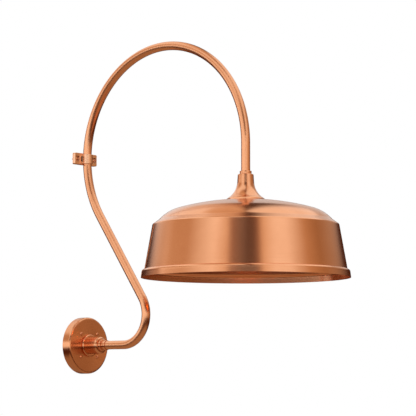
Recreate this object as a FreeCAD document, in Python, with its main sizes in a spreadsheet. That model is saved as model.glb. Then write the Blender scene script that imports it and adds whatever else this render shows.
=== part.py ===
import FreeCAD, Part
import math
import os

import Sketcher
from FreeCAD import Placement, Rotation, Vector

# Gooseneck wall sconce, in millimetres. The origin is the centre of the wall plate's back face, on the
# hub's axis. +X points out of the wall, +Z points up, and the arm lies in the plane Y = 0.

DIMENSIONS = [
    # wall plate and what seals and fixes it
    ("plate_dia", 140.0, "wall plate over its skirt"),
    ("plate_depth", 24.0, "wall to the plate's front face"),
    ("plate_sheet", 1.6, "sheet of the spun plate"),
    ("plate_edge_round", 5.5, "outside radius between face and skirt"),
    ("plate_screw_circle", 81.0, "pitch circle of the four plate screws"),
    ("plate_screw_count", 4.0, "plate screws"),
    ("plate_screw_turn", 45.0, "first plate screw above the horizontal, degrees"),
    ("wall_screw_shank", 4.2, "plain shank of the screws that go into the wall"),
    ("wall_screw_thread", 3.8, "their thread behind the wall plane, at its mean"),
    ("wall_screw_bite", 32.0, "length of the plate screws behind the wall plane"),
    ("screw_clearance", 0.3, "radial room round a screw in sheet"),
    ("plate_screw_head", 8.6, "head of a plate screw"),
    ("plate_screw_rise", 3.4, "height of a plate screw's round head"),
    ("slot_width_share", 0.14, "screw slot's width as a share of its head's diameter"),
    ("slot_depth_share", 0.4, "screw slot's depth as a share of its head's height"),
    ("gasket_width", 9.0, "radial width of the foam gasket"),
    ("gasket_thickness", 4.0, "foam gasket, along X"),
    ("soft_gap", 0.3, "room round a soft or loosely laid piece"),
    # hub on the wall plate
    ("ring_dia", 55.0, "bead ring at the foot of the hub"),
    ("ring_thickness", 6.0, "bead ring, along X"),
    ("ring_land", 0.2, "flat left round the bead between its two rounds"),
    ("barrel_dia", 42.0, "hub barrel"),
    ("barrel_length", 43.0, "hub barrel from the plate's face to its front face"),
    ("barrel_nose_land", 0.5, "flat left between the barrel's rounded nose and the small step"),
    ("hub_step_dia", 29.0, "small step at the barrel's front"),
    ("hub_step_length", 6.0, "small step, along X"),
    ("hub_step_round", 1.5, "edge radius of the small step"),
    ("tail_dia", 27.0, "threaded tail of the hub behind the plate"),
    ("thread_spare", 1.5, "thread that shows past a nut"),
    ("pipe_entry", 30.0, "wall to the pipe's end inside the hub"),
    ("washer_sheet", 1.6, "all flat washers"),
    ("hub_washer_dia", 38.0, "washer behind the plate"),
    ("hub_nut_flats", 36.0, "hub nut across its flats"),
    ("hub_nut_height", 6.5, "hub nut"),
    ("collar_dia", 24.4, "collar on the pipe in front of the hub"),
    ("collar_length", 13.0, "collar, along X"),
    ("grub_dia", 4.0, "grub screws"),
    ("grub_proud", 0.5, "grub screw beyond its collar"),
    # bent pipe
    ("pipe_dia", 21.3, "outside of the half-inch pipe"),
    ("pipe_bore", 15.8, "inside of the pipe"),
    ("pipe_clearance", 0.05, "radial room of the pipe in a bore"),
    ("stub_length", 142.0, "wall to the start of the lower bend"),
    ("lower_bend", 73.0, "centreline radius of the lower bend"),
    ("lean_angle", 34.6, "lean of the straight run from vertical, degrees"),
    ("big_bend", 258.0, "centreline radius of the gooseneck"),
    ("seat_gap", 0.1, "room between the pipe and its strap"),
    # pipe strap
    ("strap_back_sheet", 2.75, "backing plate behind the strap"),
    ("strap_length", 78.0, "strap, along Y"),
    ("strap_band_width", 24.0, "band over the pipe, along Z"),
    ("strap_ear_width", 29.0, "ears, along Z"),
    ("strap_ear_height", 6.5, "ears, along X"),
    ("strap_ear_round", 3.0, "corner radius of the ears"),
    ("strap_sheet", 2.9, "band over the pipe"),
    ("strap_pocket_depth", 3.4, "pockets in the ears"),
    ("strap_pocket_length", 11.0, "screw pockets, along Y"),
    ("strap_rim", 8.0, "rim above and below the pockets"),
    ("strap_rib", 6.9, "rib between the two pockets of an ear"),
    ("pocket_wall", 0.5, "band's foot to the nearest pocket"),
    ("strap_screw_spacing", 60.0, "two strap screws, centre to centre"),
    ("strap_screw_head", 8.6, "head of a strap screw"),
    ("strap_screw_rise", 2.8, "height of a strap screw's round head"),
    ("strap_screw_bite", 9.0, "length of the strap screws behind the wall plane"),
    # neck above the shade
    ("neck_collar_dia", 27.8, "collar above the neck"),
    ("neck_collar_height", 7.4, "collar above the neck"),
    ("neck_top_dia", 36.8, "neck at its top"),
    ("neck_waist_dia", 39.8, "neck where its flare starts"),
    ("neck_waist_height", 40.5, "foot of the neck to the start of its flare"),
    ("neck_height", 61.5, "neck from its foot to its top"),
    ("neck_foot_dia", 88.6, "neck over its foot"),
    ("neck_lip", 3.0, "upright lip of the neck's foot"),
    ("neck_bevel", 2.0, "bevel above the lip, both ways"),
    ("neck_flare", 47.0, "radius of the flare"),
    ("neck_sheet", 1.5, "sheet of the neck"),
    ("neck_top_round", 2.0, "edge radius at the neck's top"),
    # spun shade
    ("rim_height", 150.0, "hub's axis to the shade's lower edge"),
    ("rim_dia", 490.5, "shade over its lower edge"),
    ("band_top_dia", 487.2, "rim band at its top"),
    ("band_height", 12.5, "rim band"),
    ("band_shoulder", 6.5, "rounded shoulder above the rim band"),
    ("skirt_height", 105.0, "skirt above the rim band's shoulder"),
    ("skirt_top_dia", 437.0, "skirt at its top"),
    ("shoulder_rise", 10.7, "sloping ring between skirt and dome"),
    ("shoulder_round", 5.0, "radius between skirt and sloping ring"),
    ("dome_dia", 406.8, "dome at its foot"),
    ("dome_rise", 48.4, "dome from its foot to its crown"),
    ("crown_radius", 606.0, "radius of the dome's crown"),
    ("knuckle_radius", 86.0, "radius of the dome's edge"),
    ("shade_sheet", 1.2, "sheet of the shade"),
    # fittings between neck and lamp holder
    ("bush_dia", 31.0, "bush on the pipe's lower end"),
    ("bush_height", 29.0, "bush"),
    ("pipe_in_bush", 16.0, "pipe's end inside the bush"),
    ("nipple_dia", 13.2, "hollow threaded nipple"),
    ("nipple_bore", 9.0, "its bore"),
    ("nipple_in_bush", 10.0, "nipple's end inside the bush"),
    ("shade_washer_dia", 40.0, "washer under the dome"),
    ("shade_nut_flats", 22.0, "nut under the dome, across its flats"),
    ("shade_nut_height", 6.0, "nut under the dome"),
    # lamp holder
    ("cup_dia", 48.0, "metal cup of the lamp holder"),
    ("cup_height", 26.0, "metal cup"),
    ("cup_sheet", 1.0, "sheet of the cup"),
    ("cup_round", 6.0, "edge radius of the cup"),
    ("cup_nut_flats", 20.0, "nut inside the cup, across its flats"),
    ("cup_nut_height", 3.5, "nut inside the cup"),
    ("holder_screw_head", 6.0, "head of a screw through the cup's side"),
    ("holder_screw_rise", 1.8, "height of its head"),
    ("holder_screw_shank", 2.8, "its shank"),
    ("holder_screw_bite", 4.0, "its length inside the porcelain"),
    ("holder_screw_height", 7.0, "cup's lower edge to the screws"),
    ("wiring_room", 11.0, "room above the porcelain inside the cup"),
    ("holder_clearance", 0.3, "room between cup, porcelain and shell"),
    ("holder_height", 49.0, "porcelain"),
    ("holder_floor", 12.0, "porcelain above the lamp's cavity"),
    ("holder_round", 2.0, "edge radius of the porcelain"),
    ("wire_hole_dia", 3.0, "hole for the wiring on the porcelain's axis"),
    ("shell_wall", 0.5, "screw shell's sheet"),
    ("shell_inset", 1.5, "screw shell behind the porcelain's mouth"),
    ("tongue_sheet", 0.6, "centre contact's strip"),
    ("tongue_width", 8.0, "centre contact's strip"),
    ("tongue_margin", 2.0, "cavity's wall to the strip's end"),
    ("tongue_foot", 6.0, "flat foot of the strip"),
    ("tongue_ramp", 3.6, "sloping part of the strip"),
    ("tongue_pad", 6.5, "flat end of the strip that meets the lamp"),
    ("terminal_spacing", 22.0, "two terminal screws, centre to centre"),
    ("terminal_head", 6.0, "head of a terminal screw"),
    ("terminal_rise", 2.2, "height of a terminal screw's head"),
    ("terminal_shank", 2.6, "shank of a terminal screw"),
    ("terminal_bite", 6.0, "terminal screw inside the porcelain"),
    # lamp
    ("cap_dia", 26.1, "lamp's screw cap"),
    ("cap_length", 25.5, "lamp's screw cap"),
    ("cap_sheet", 0.5, "sheet of the screw cap"),
    ("cap_round", 2.0, "edge radius of the screw cap"),
    ("lamp_clearance", 0.3, "radial room of the lamp in its shell"),
    ("insulator_height", 4.2, "black glass at the cap's end"),
    ("insulator_foot_dia", 20.9, "black glass where it meets the cap"),
    ("insulator_tip_dia", 10.6, "black glass round the centre contact"),
    ("contact_dia", 9.6, "centre contact of the lamp"),
    ("contact_height", 1.5, "centre contact of the lamp"),
    ("globe_dia", 60.0, "lamp's glass at its widest"),
    ("glass_length", 78.0, "glass beyond the cap"),
    ("glass_wall", 0.8, "lamp's glass"),
    ("glass_neck_length", 8.0, "glass inside the cap"),
    ("glass_shoulder_out", 2.0, "glass's shoulder beyond its neck, radially"),
    ("glass_shoulder_drop", 6.0, "cap's edge to the glass's shoulder"),
    ("glass_shoulder_round", 5.0, "radius at the shoulder"),
    ("glass_waist_drop", 1.0, "cap's edge to the end of the glass's neck"),
    ("glass_waist_round", 2.0, "radius at the end of the neck"),
    ("stem_dia", 7.0, "glass stem inside the lamp"),
    ("stem_length", 34.0, "glass stem beyond the cap"),
    ("stem_flange_sheet", 1.6, "flange of the stem, inside the cap"),
    ("stem_flange_inset", 1.6, "cap's edge to the flange"),
    ("filament_count", 4.0, "light-emitting sticks"),
    ("filament_dia", 1.8, "light-emitting stick"),
    ("filament_length", 34.0, "light-emitting stick"),
    ("filament_circle", 18.0, "circle of the sticks' lower ends"),
    ("filament_inset", 6.0, "cap's edge to the sticks' upper ends"),
    ("filament_wire_dia", 0.6, "support wires of the sticks"),
    # wiring
    ("lead_dia", 2.2, "insulated lead"),
    ("lead_offset", 2.3, "lead's distance from the pipe's centreline"),
    ("lead_bend", 4.0, "smallest bend of a lead, on its centreline"),
    ("connector_dia", 11.0, "wire connector at its mouth"),
    ("connector_tip_dia", 6.5, "wire connector at its tip"),
    ("connector_length", 21.0, "wire connector"),
    ("connector_distance", 26.0, "hub's axis to a wire connector's mouth"),
    ("connector_depth", 6.8, "wall to a wire connector's axis"),
    ("ground_height", 42.0, "hub's axis to the ground screw"),
    ("lug_width", 10.0, "ground lug"),
    ("lug_ring_dia", 34.0, "ground lug round the hub's tail"),
    ("ground_connector_distance", 14.0, "arm's plane to the ground connector's mouth"),
    ("ground_head", 7.6, "head of the ground screw"),
    ("ground_rise", 2.4, "height of the ground screw's head"),
    ("ground_shank", 3.4, "shank of the ground screw"),
    ("ground_bite", 2.4, "ground screw inside the lug and past it"),
]

doc = FreeCAD.newDocument("gooseneck_wall_sconce")
sheet = doc.addObject("Spreadsheet::Sheet", "Dimensions")
for row, (alias, number, note) in enumerate(DIMENSIONS, start=1):
    sheet.set(f"A{row}", note)
    sheet.set(f"B{row}", str(number))
    sheet.setAlias(f"B{row}", alias)
doc.recompute()


class Size:
    """A number together with the expression over the sheet that it comes from."""

    def __init__(self, number, text):
        self.number = number
        self.text = text

    def join(self, other, sign, number):
        return Size(number, f"({self.text} {sign} {as_size(other).text})")

    def __add__(self, other):
        return self.join(other, "+", self.number + as_size(other).number)

    def __sub__(self, other):
        return self.join(other, "-", self.number - as_size(other).number)

    def __mul__(self, other):
        return self.join(other, "*", self.number * as_size(other).number)

    def __truediv__(self, other):
        return self.join(other, "/", self.number / as_size(other).number)

    def __neg__(self):
        return Size(-self.number, f"(-1 * {self.text})")

    def __float__(self):
        return float(self.number)


def as_size(value):
    """A plain number as a Size; a Size stays as it is."""
    return value if isinstance(value, Size) else Size(float(value), repr(float(value)))


def tangent_of(angle):
    """The tangent of an angle in degrees."""
    return Size(math.tan(math.radians(float(angle))), f"tan({angle.text})")


class Sheet:
    """Each alias of the sheet as a Size, such as d.pipe_dia."""

    def __getattr__(self, alias):
        return Size(float(getattr(sheet, alias)), f"Dimensions.{alias}")


d = Sheet()

# Places that several pieces share, each worked out from the driving dimensions.
pipe_from_wall = d.strap_back_sheet + d.seat_gap + d.pipe_dia / 2
shade_x = pipe_from_wall + d.big_bend * 2
foot_x = d.stub_length + d.lower_bend * tangent_of((d.lean_angle + 90) / 2)
knee_z = (foot_x - pipe_from_wall) / tangent_of(d.lean_angle)
strap_z = knee_z + d.big_bend * tangent_of(d.lean_angle / 2)
arm_top = strap_z + d.big_bend
plate_inside = d.plate_depth - d.plate_sheet
hub_front = d.plate_depth + d.barrel_length
collar_start = hub_front + d.hub_step_length
pipe_bore_fit = d.pipe_dia + d.pipe_clearance * 2
skirt_foot = d.rim_height + d.band_height + d.band_shoulder
skirt_top = skirt_foot + d.skirt_height
dome_foot = skirt_top + d.shoulder_rise
crown_z = dome_foot + d.dome_rise
neck_foot = crown_z - d.neck_lip / 2
neck_top = neck_foot + d.neck_height
bush_top = neck_top - d.neck_sheet
pipe_end = bush_top - d.pipe_in_bush
nipple_top = bush_top - d.bush_height + d.nipple_in_bush
crown_sag = d.shade_washer_dia * d.shade_washer_dia / (d.crown_radius * 8)
washer_top = crown_z - d.shade_sheet - crown_sag - d.seat_gap
nut_top = washer_top - d.washer_sheet
cup_top = nut_top - d.shade_nut_height
holder_top = cup_top - d.cup_sheet - d.wiring_room
holder_mouth = holder_top - d.holder_height
cavity_top = holder_top - d.holder_floor
cap_foot = holder_mouth + d.lamp_clearance
cap_top = cap_foot + d.cap_length
contact_base = cap_top + d.insulator_height
contact_tip = contact_base + d.contact_height
glass_tip = cap_foot - d.glass_length
shell_radius = d.cap_dia / 2 + d.lamp_clearance
cavity_radius = shell_radius + d.shell_wall + d.holder_clearance
cup_mouth = cup_top - d.cup_height
nipple_end = cup_top - d.cup_sheet - d.cup_nut_height - d.thread_spare
holder_radius = d.cup_dia / 2 - d.cup_sheet - d.holder_clearance

UPRIGHT = Rotation()
ALONG_X = Rotation(Vector(0, 1, 0), 90)
TO_MINUS_X = Rotation(Vector(0, 1, 0), -90)
TO_PLUS_Y = Rotation(Vector(1, 0, 0), -90)
TO_MINUS_Y = Rotation(Vector(1, 0, 0), 90)
TOLERANCE = 0.01

parts = []


def finish(item, label):
    """Names a finished sub-part and puts it on the list to export."""
    item.Label = label
    parts.append(item)
    return item


def bind(item, **sizes):
    """Binds properties of an object to sizes from the sheet."""
    for name, size in sizes.items():
        item.setExpression(name, as_size(size).text)
    return item


def place(item, turn=UPRIGHT, **spot):
    """Puts an object at x, y and z, each bound to the sheet and 0 where it isn't given."""
    item.Placement = Placement(Vector(*[float(spot.get(axis, 0)) for axis in "xyz"]), turn)
    for axis, size in spot.items():
        item.setExpression(f"Placement.Base.{axis}", as_size(size).text)
    return item


def cylinder(name, dia, length, **spot):
    item = doc.addObject("Part::Cylinder", name)
    bind(item, Radius=as_size(dia) / 2, Height=length)
    return place(item, **spot)


def cone(name, dia_near, dia_far, length, **spot):
    item = doc.addObject("Part::Cone", name)
    bind(item, Radius1=as_size(dia_near) / 2, Radius2=as_size(dia_far) / 2, Height=length)
    return place(item, **spot)


def box(name, x_size, y_size, z_size, **spot):
    item = doc.addObject("Part::Box", name)
    bind(item, Length=x_size, Width=y_size, Height=z_size)
    return place(item, **spot)


def cut(name, base, tool):
    item = doc.addObject("Part::Cut", name)
    item.Base, item.Tool = base, tool
    return item


def fuse(name, shapes):
    item = doc.addObject("Part::MultiFuse", name)
    item.Shapes = shapes
    item.Refine = True
    return item


def group(name, items):
    item = doc.addObject("Part::Compound", name)
    item.Links = items
    return item


def hexagon(name, flats, height, **spot):
    """A nut's blank, with its size across the flats."""
    item = doc.addObject("Part::Prism", name)
    item.Polygon = 6
    corner_radius = as_size(flats) / (2 * math.cos(math.pi / 6))
    bind(item, Circumradius=corner_radius, Height=height)
    return place(item, **spot)


def plane(body, role):
    return next(item for item in body.Origin.OriginFeatures if item.Role == role)


def draw_section(sketch, corners):
    """Draws a closed section of straight lines, each corner bound to the sheet by its two distances."""
    spots = [(as_size(radius), as_size(height)) for radius, height in corners]
    for index, (radius, height) in enumerate(spots):
        ahead = spots[(index + 1) % len(spots)]
        start = Vector(float(radius), float(height), 0)
        sketch.addGeometry(Part.LineSegment(start, Vector(float(ahead[0]), float(ahead[1]), 0)), False)
    for index, spot in enumerate(spots):
        sketch.addConstraint(Sketcher.Constraint("Coincident", index, 2, (index + 1) % len(spots), 1))
        for kind, size in zip(("DistanceX", "DistanceY"), spot):
            number = sketch.addConstraint(Sketcher.Constraint(kind, -1, 1, index, 1, float(size)))
            sketch.setExpression(f"Constraints[{number}]", size.text)


def ring_edges(shape, radius, height):
    """Names the circular edges of a turned shape that have this radius and height."""
    names = []
    for index, edge in enumerate(shape.Edges, start=1):
        curve = edge.Curve
        if isinstance(curve, Part.Circle):
            same_radius = abs(curve.Radius - float(radius)) < TOLERANCE
            if same_radius and abs(curve.Center.z - float(height)) < TOLERANCE:
                names.append(f"Edge{index}")
    return names


def turned(name, corners, rounds=(), **spot):
    """A lathe-turned body: its half section is (radius, height) corners, revolved about its own Z.

    Each of the rounds is (radius of the edge, height of the edge, fillet radius)."""
    body = doc.addObject("PartDesign::Body", name)
    sketch = body.newObject("Sketcher::SketchObject", f"{name}_section")
    sketch.AttachmentSupport = (plane(body, "XZ_Plane"), [""])
    sketch.MapMode = "FlatFace"
    draw_section(sketch, corners)
    solid = body.newObject("PartDesign::Revolution", f"{name}_turning")
    solid.Profile = sketch
    solid.ReferenceAxis = (sketch, ["V_Axis"])
    solid.Angle = 360.0
    doc.recompute()
    for index, (radius, height, fillet) in enumerate(rounds):
        blank = body.Tip
        rounding = body.newObject("PartDesign::Fillet", f"{name}_round_{index}")
        rounding.Base = (blank, ring_edges(blank.Shape, radius, height))
        body.Tip = rounding
        bind(rounding, Radius=fillet)
        doc.recompute()
    return place(body, **spot)


def feature(name, shape, **spot):
    """A document object for a shape that is swept, spun or copied."""
    item = doc.addObject("Part::Feature", name)
    item.Shape = shape
    return place(item, **spot)


def arc_edge(start, end, radius):
    """An arc of this radius from start to end, which turns left as seen from -Y when radius > 0."""
    chord = end - start
    middle = start + chord * 0.5
    side = Vector(-chord.z, 0, chord.x).normalize()
    rise = math.sqrt(radius * radius - chord.Length ** 2 / 4)
    centre = middle + side * math.copysign(rise, radius)
    top = centre + (middle - centre).normalize() * abs(radius)
    return Part.Arc(start, top, end).toShape()


def rounded_route(points, radii):
    """Straight runs between points, with a tangent arc of the given radius at each inner point."""
    edges = []
    start = points[0]
    for before, corner, after, radius in zip(points, points[1:], points[2:], radii):
        back = (before - corner).normalize()
        ahead = (after - corner).normalize()
        half_turn = (math.pi - back.getAngle(ahead)) / 2
        tangent = radius * math.tan(half_turn)
        entry, leave = corner + back * tangent, corner + ahead * tangent
        inward = (back + ahead).normalize()
        top = corner + inward * (radius / math.cos(half_turn) - radius)
        if (entry - start).Length > TOLERANCE:
            edges.append(Part.makeLine(start, entry))
        edges.append(Part.Arc(entry, top, leave).toShape())
        start = leave
    edges.append(Part.makeLine(start, points[-1]))
    return Part.Wire(edges)


def swept(points, radii, radius):
    """A round rod of this radius along straight runs with bends."""
    ring = Part.Wire([Part.makeCircle(radius, points[0], points[1] - points[0])])
    return rounded_route(points, radii).makePipeShell([ring], True, False)


def spun(edges, sheet_thickness):
    """A spun shell about Z: the open outline is its outer skin, and the sheet lies on its inside."""
    skin = Part.Wire(edges)
    sections = [skin.makeOffset2D(side * float(sheet_thickness), 2, True, True) for side in (1, -1)]
    inside = min(sections, key=lambda section: section.BoundBox.XMax)
    return inside.revolve(Vector(), Vector(0, 0, 1), 360)


def point(radius, height):
    """A point of a half section: its distance from the axis and its height."""
    return Vector(float(radius), 0, float(height))


def screw_shape(head_dia, rise, shank_dia, shank_length, thread=()):
    """A round-head slotted screw whose head rests on z = 0, with its shank below.

    A thread of its own size is (diameter, length), below the shank."""
    head_radius, high, deep = float(head_dia) / 2, float(rise), float(shank_length)
    shank_radius = float(shank_dia) / 2
    skin = [point(shank_radius, -deep), point(shank_radius, 0), point(head_radius, 0)]
    if thread:
        thread_radius, tip = float(thread[0]) / 2, deep + float(thread[1])
        skin = [point(thread_radius, -tip), point(thread_radius, -deep)] + skin
    else:
        tip = deep
    corners = [point(0, high), point(0, -tip)] + skin
    edges = [Part.makeLine(near, far) for near, far in zip(corners, corners[1:])]
    edges.append(arc_edge(corners[-1], corners[0], (head_radius ** 2 + high ** 2) / (2 * high)))
    body = Part.Face(Part.Wire(edges)).revolve(Vector(), Vector(0, 0, 1), 360)
    slot_width = head_radius * 2 * float(d.slot_width_share)
    slot_foot = Vector(-head_radius, -slot_width / 2, high - high * float(d.slot_depth_share))
    return body.cut(Part.makeBox(head_radius * 2, slot_width, high, slot_foot))


def copies(shape, spots, turns):
    """A compound of copies of a shape, one at each spot, each with its own turn."""
    placed = []
    for spot, turn in zip(spots, turns):
        copy = shape.copy()
        copy.Placement = Placement(Vector(*[float(value) for value in spot]), turn)
        placed.append(copy)
    return Part.Compound(placed)


def ring(name, outer_dia, inner_dia, length, **spot):
    """A plain washer or sleeve along its own Z."""
    outside = cylinder(f"{name}_outside", outer_dia, length)
    inside = cylinder(f"{name}_inside", inner_dia, length)
    return place(cut(name, outside, inside), **spot)


def nut(name, flats, thread_dia, height, **spot):
    """A hexagon nut along its own Z."""
    blank = hexagon(f"{name}_blank", flats, height)
    thread = cylinder(f"{name}_thread", thread_dia, height)
    return place(cut(name, blank, thread), **spot)


def grub_screw(name, collar_dia, **spot):
    """A grub screw along its own Z, from the pipe's skin to just outside a collar, with a hex socket."""
    length = (collar_dia - d.pipe_dia) / 2 + d.grub_proud - d.pipe_clearance
    shank = cylinder(f"{name}_shank", d.grub_dia, length)
    socket = hexagon(f"{name}_socket", d.grub_dia / 2, d.grub_proud * 2, z=length - d.grub_proud)
    return place(cut(name, shank, socket), **spot)


# ---- wall plate, gasket and screws ----

screw_hole_dia = d.wall_screw_shank + d.screw_clearance * 2
screw_ring = d.plate_screw_circle / 2
plate_spots = []
for index in range(int(float(d.plate_screw_count))):
    angle = math.radians(float(d.plate_screw_turn) + index * 360 / float(d.plate_screw_count))
    plate_spots.append((d.plate_depth, screw_ring * math.cos(angle), screw_ring * math.sin(angle)))
plate_outline = [point(d.plate_dia / 2, 0), point(d.plate_dia / 2, d.plate_depth),
                 point(d.tail_dia / 2 + d.screw_clearance, d.plate_depth)]
plate_shell = spun(rounded_route(plate_outline, [float(d.plate_edge_round)]).Edges, d.plate_sheet)
plate_blank = feature("plate_blank", plate_shell, turn=ALONG_X)
plate_holes = [cylinder(f"plate_hole_{index}", screw_hole_dia, d.plate_depth * 2, y=y, z=z, turn=ALONG_X)
               for index, (x, y, z) in enumerate(plate_spots)]
finish(cut("wall_plate_cut", plate_blank, group("plate_holes", plate_holes)), "wall_plate")

gasket_dia = d.plate_dia - d.plate_sheet * 2 - d.soft_gap * 2
gasket = ring("gasket", gasket_dia, gasket_dia - d.gasket_width * 2, d.gasket_thickness, turn=ALONG_X)
finish(gasket, "wall_gasket")

plate_screw = screw_shape(d.plate_screw_head, d.plate_screw_rise, d.wall_screw_shank, d.plate_depth,
                          thread=(d.wall_screw_thread, d.wall_screw_bite))
plate_screw_set = copies(plate_screw, plate_spots, [ALONG_X] * len(plate_spots))
finish(feature("plate_screw_set", plate_screw_set), "plate_screws")

# ---- hub ----

ring_bore = d.barrel_dia / 2 + d.pipe_clearance
ring_half = (d.ring_thickness - d.ring_land) / 2
bead = turned("bead", [(ring_bore, 0), (d.ring_dia / 2, 0), (d.ring_dia / 2, d.ring_thickness),
                       (ring_bore, d.ring_thickness)],
              rounds=[(d.ring_dia / 2, 0, ring_half), (d.ring_dia / 2, d.ring_thickness, ring_half)],
              x=d.plate_depth, turn=ALONG_X)
finish(bead, "hub_ring")

tail_start = -(d.plate_sheet + d.washer_sheet * 2 + d.hub_nut_height + d.thread_spare)
pipe_stop = d.pipe_entry - d.plate_depth
step_end = d.barrel_length + d.hub_step_length
nose_round = (d.barrel_dia - d.hub_step_dia) / 2 - d.barrel_nose_land
barrel = turned("barrel", [(d.pipe_bore / 2, tail_start), (d.tail_dia / 2, tail_start), (d.tail_dia / 2, 0),
                           (d.barrel_dia / 2, 0), (d.barrel_dia / 2, d.barrel_length),
                           (d.hub_step_dia / 2, d.barrel_length), (d.hub_step_dia / 2, step_end),
                           (pipe_bore_fit / 2, step_end), (pipe_bore_fit / 2, pipe_stop),
                           (d.pipe_bore / 2, pipe_stop)],
                rounds=[(d.barrel_dia / 2, d.barrel_length, nose_round),
                        (d.hub_step_dia / 2, step_end, d.hub_step_round)],
                x=d.plate_depth, turn=ALONG_X)
finish(barrel, "hub_barrel")

thread_dia = d.tail_dia + d.pipe_clearance * 2
hub_washer_x = plate_inside - d.washer_sheet
hub_washer = ring("hub_washer_ring", d.hub_washer_dia, thread_dia, d.washer_sheet, x=hub_washer_x,
                  turn=ALONG_X)
finish(hub_washer, "hub_washer")
lug_x = hub_washer_x - d.washer_sheet
lug_ring = cylinder("lug_ring", d.lug_ring_dia, d.washer_sheet, x=lug_x, turn=ALONG_X)
lug_strip = box("lug_strip", d.washer_sheet, d.lug_width, d.ground_height + d.lug_width / 2,
                x=lug_x, y=-(d.lug_width / 2))
lug_tapping_dia = d.ground_shank + d.pipe_clearance * 2
lug_holes = [cylinder("lug_thread", thread_dia, d.washer_sheet * 2, x=lug_x, turn=ALONG_X),
             cylinder("lug_tapping", lug_tapping_dia, d.washer_sheet * 2, x=lug_x, z=d.ground_height,
                      turn=ALONG_X)]
lug_blank = fuse("lug_blank", [lug_ring, lug_strip])
finish(cut("lug_cut", lug_blank, group("lug_holes", lug_holes)), "ground_lug")
hub_nut_x = lug_x - d.hub_nut_height
hub_nut = nut("hub_nut", d.hub_nut_flats, thread_dia, d.hub_nut_height, x=hub_nut_x, turn=ALONG_X)
finish(hub_nut, "hub_locknut")

collar_sleeve = ring("collar_sleeve", d.collar_dia, pipe_bore_fit, d.collar_length, x=collar_start,
                     turn=ALONG_X)
collar_middle = collar_start + d.collar_length / 2
collar_tapping = cylinder("collar_tapping", d.grub_dia + d.pipe_clearance * 2, d.collar_dia,
                          x=collar_middle, turn=TO_MINUS_Y)
finish(cut("collar_cut", collar_sleeve, collar_tapping), "pipe_collar")
grub_seat = -(d.pipe_dia / 2 + d.pipe_clearance)
collar_grub = grub_screw("collar_grub", d.collar_dia, x=collar_middle, y=grub_seat, turn=TO_MINUS_Y)
finish(collar_grub, "collar_grub_screw")

# ---- gooseneck pipe ----


def arm_corners(start_x, side, end_z):
    """Corner points of the arm's centreline, from start_x on the stub down to end_z above the shade."""
    flat = [(start_x, 0), (foot_x, 0), (pipe_from_wall, knee_z), (pipe_from_wall, arm_top),
            (shade_x, arm_top), (shade_x, end_z)]
    return [Vector(float(x), float(side), float(z)) for x, z in flat]


ARM_BENDS = [float(d.lower_bend)] + [float(d.big_bend)] * 3
arm_run = arm_corners(d.pipe_entry, 0, pipe_end)
arm_rod, arm_bore = (swept(arm_run, ARM_BENDS, float(dia) / 2) for dia in (d.pipe_dia, d.pipe_bore))
finish(feature("arm", arm_rod.cut(arm_bore)), "arm_pipe")

# ---- pipe strap ----

half_ear = d.strap_ear_width / 2
band_inside = d.pipe_dia / 2 + d.seat_gap
band_outside = band_inside + d.strap_sheet
ear_top = d.strap_back_sheet + d.strap_ear_height


def round_corners(name, base, radius):
    """Rounds the four edges of a box-like plate that run along X."""
    doc.recompute()
    item = doc.addObject("Part::Fillet", name)
    item.Base = base
    edges = []
    for index, edge in enumerate(base.Shape.Edges, start=1):
        along = edge.Vertexes[-1].Point - edge.Vertexes[0].Point
        if abs(along.y) < TOLERANCE and abs(along.z) < TOLERANCE:
            edges.append((index, float(radius), float(radius)))
    item.Edges = edges
    return item


def strap_plate(name, thickness, **spot):
    """A plate of the strap's outline."""
    blank = box(f"{name}_blank", thickness, d.strap_length, d.strap_ear_width)
    return place(round_corners(name, blank, d.strap_ear_round), **spot)


strap_base_z = strap_z - half_ear
strap_y = -(d.strap_length / 2)


def strap_holes(name):
    """Two holes for the strap's screws."""
    holes = []
    for index, side in enumerate((-1, 1)):
        holes.append(cylinder(f"{name}_{index}", screw_hole_dia, ear_top * 2,
                              y=d.strap_screw_spacing / 2 * side, z=strap_z, turn=ALONG_X))
    return holes


back_blank = strap_plate("strap_back_plate", d.strap_back_sheet, y=strap_y, z=strap_base_z)
finish(cut("strap_back_cut", back_blank, group("back_holes", strap_holes("back_hole"))), "strap_back")

ears = strap_plate("strap_ears", d.strap_ear_height, x=d.strap_back_sheet, y=strap_y, z=strap_base_z)
band_z = strap_z - d.strap_band_width / 2
band_arch = cylinder("band_arch", band_outside * 2, d.strap_band_width, x=pipe_from_wall, z=band_z)
band_sides = box("band_sides", pipe_from_wall - d.strap_back_sheet, band_outside * 2, d.strap_band_width,
                 x=d.strap_back_sheet, y=-band_outside, z=band_z)
pipe_way = doc.addObject("Part::Torus", "pipe_way")
bind(pipe_way, Radius1=d.big_bend, Radius2=band_inside)
place(pipe_way, x=pipe_from_wall + d.big_bend, z=strap_z, turn=TO_PLUS_Y)
pipe_mouth = box("pipe_mouth", band_outside * 2, band_inside * 2, d.strap_ear_width * 2,
                 x=pipe_from_wall - band_outside * 2, y=-band_inside, z=strap_z - d.strap_ear_width)
pocket_width = d.strap_ear_width - d.strap_rim * 2
rib_outside = d.strap_screw_spacing / 2 - d.strap_pocket_length / 2
small_start = band_outside + d.pocket_wall
small_length = rib_outside - d.strap_rib - small_start
strap_seat = ear_top - d.strap_pocket_depth
pockets = []
for index, side in enumerate((-1, 1)):
    for kind, near, length in (("screw", rib_outside, d.strap_pocket_length),
                               ("small", small_start, small_length)):
        low = near if side > 0 else -(near + length)
        pockets.append(box(f"pocket_{kind}_{index}", d.strap_pocket_depth * 2, length, pocket_width,
                           x=strap_seat, y=low, z=strap_z - pocket_width / 2))
strap_blank = fuse("strap_blank", [ears, band_arch, band_sides])
strap_cuts = group("strap_cuts", pockets + [pipe_way, pipe_mouth] + strap_holes("ear_hole"))
finish(cut("strap_cut", strap_blank, strap_cuts), "pipe_strap")

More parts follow.
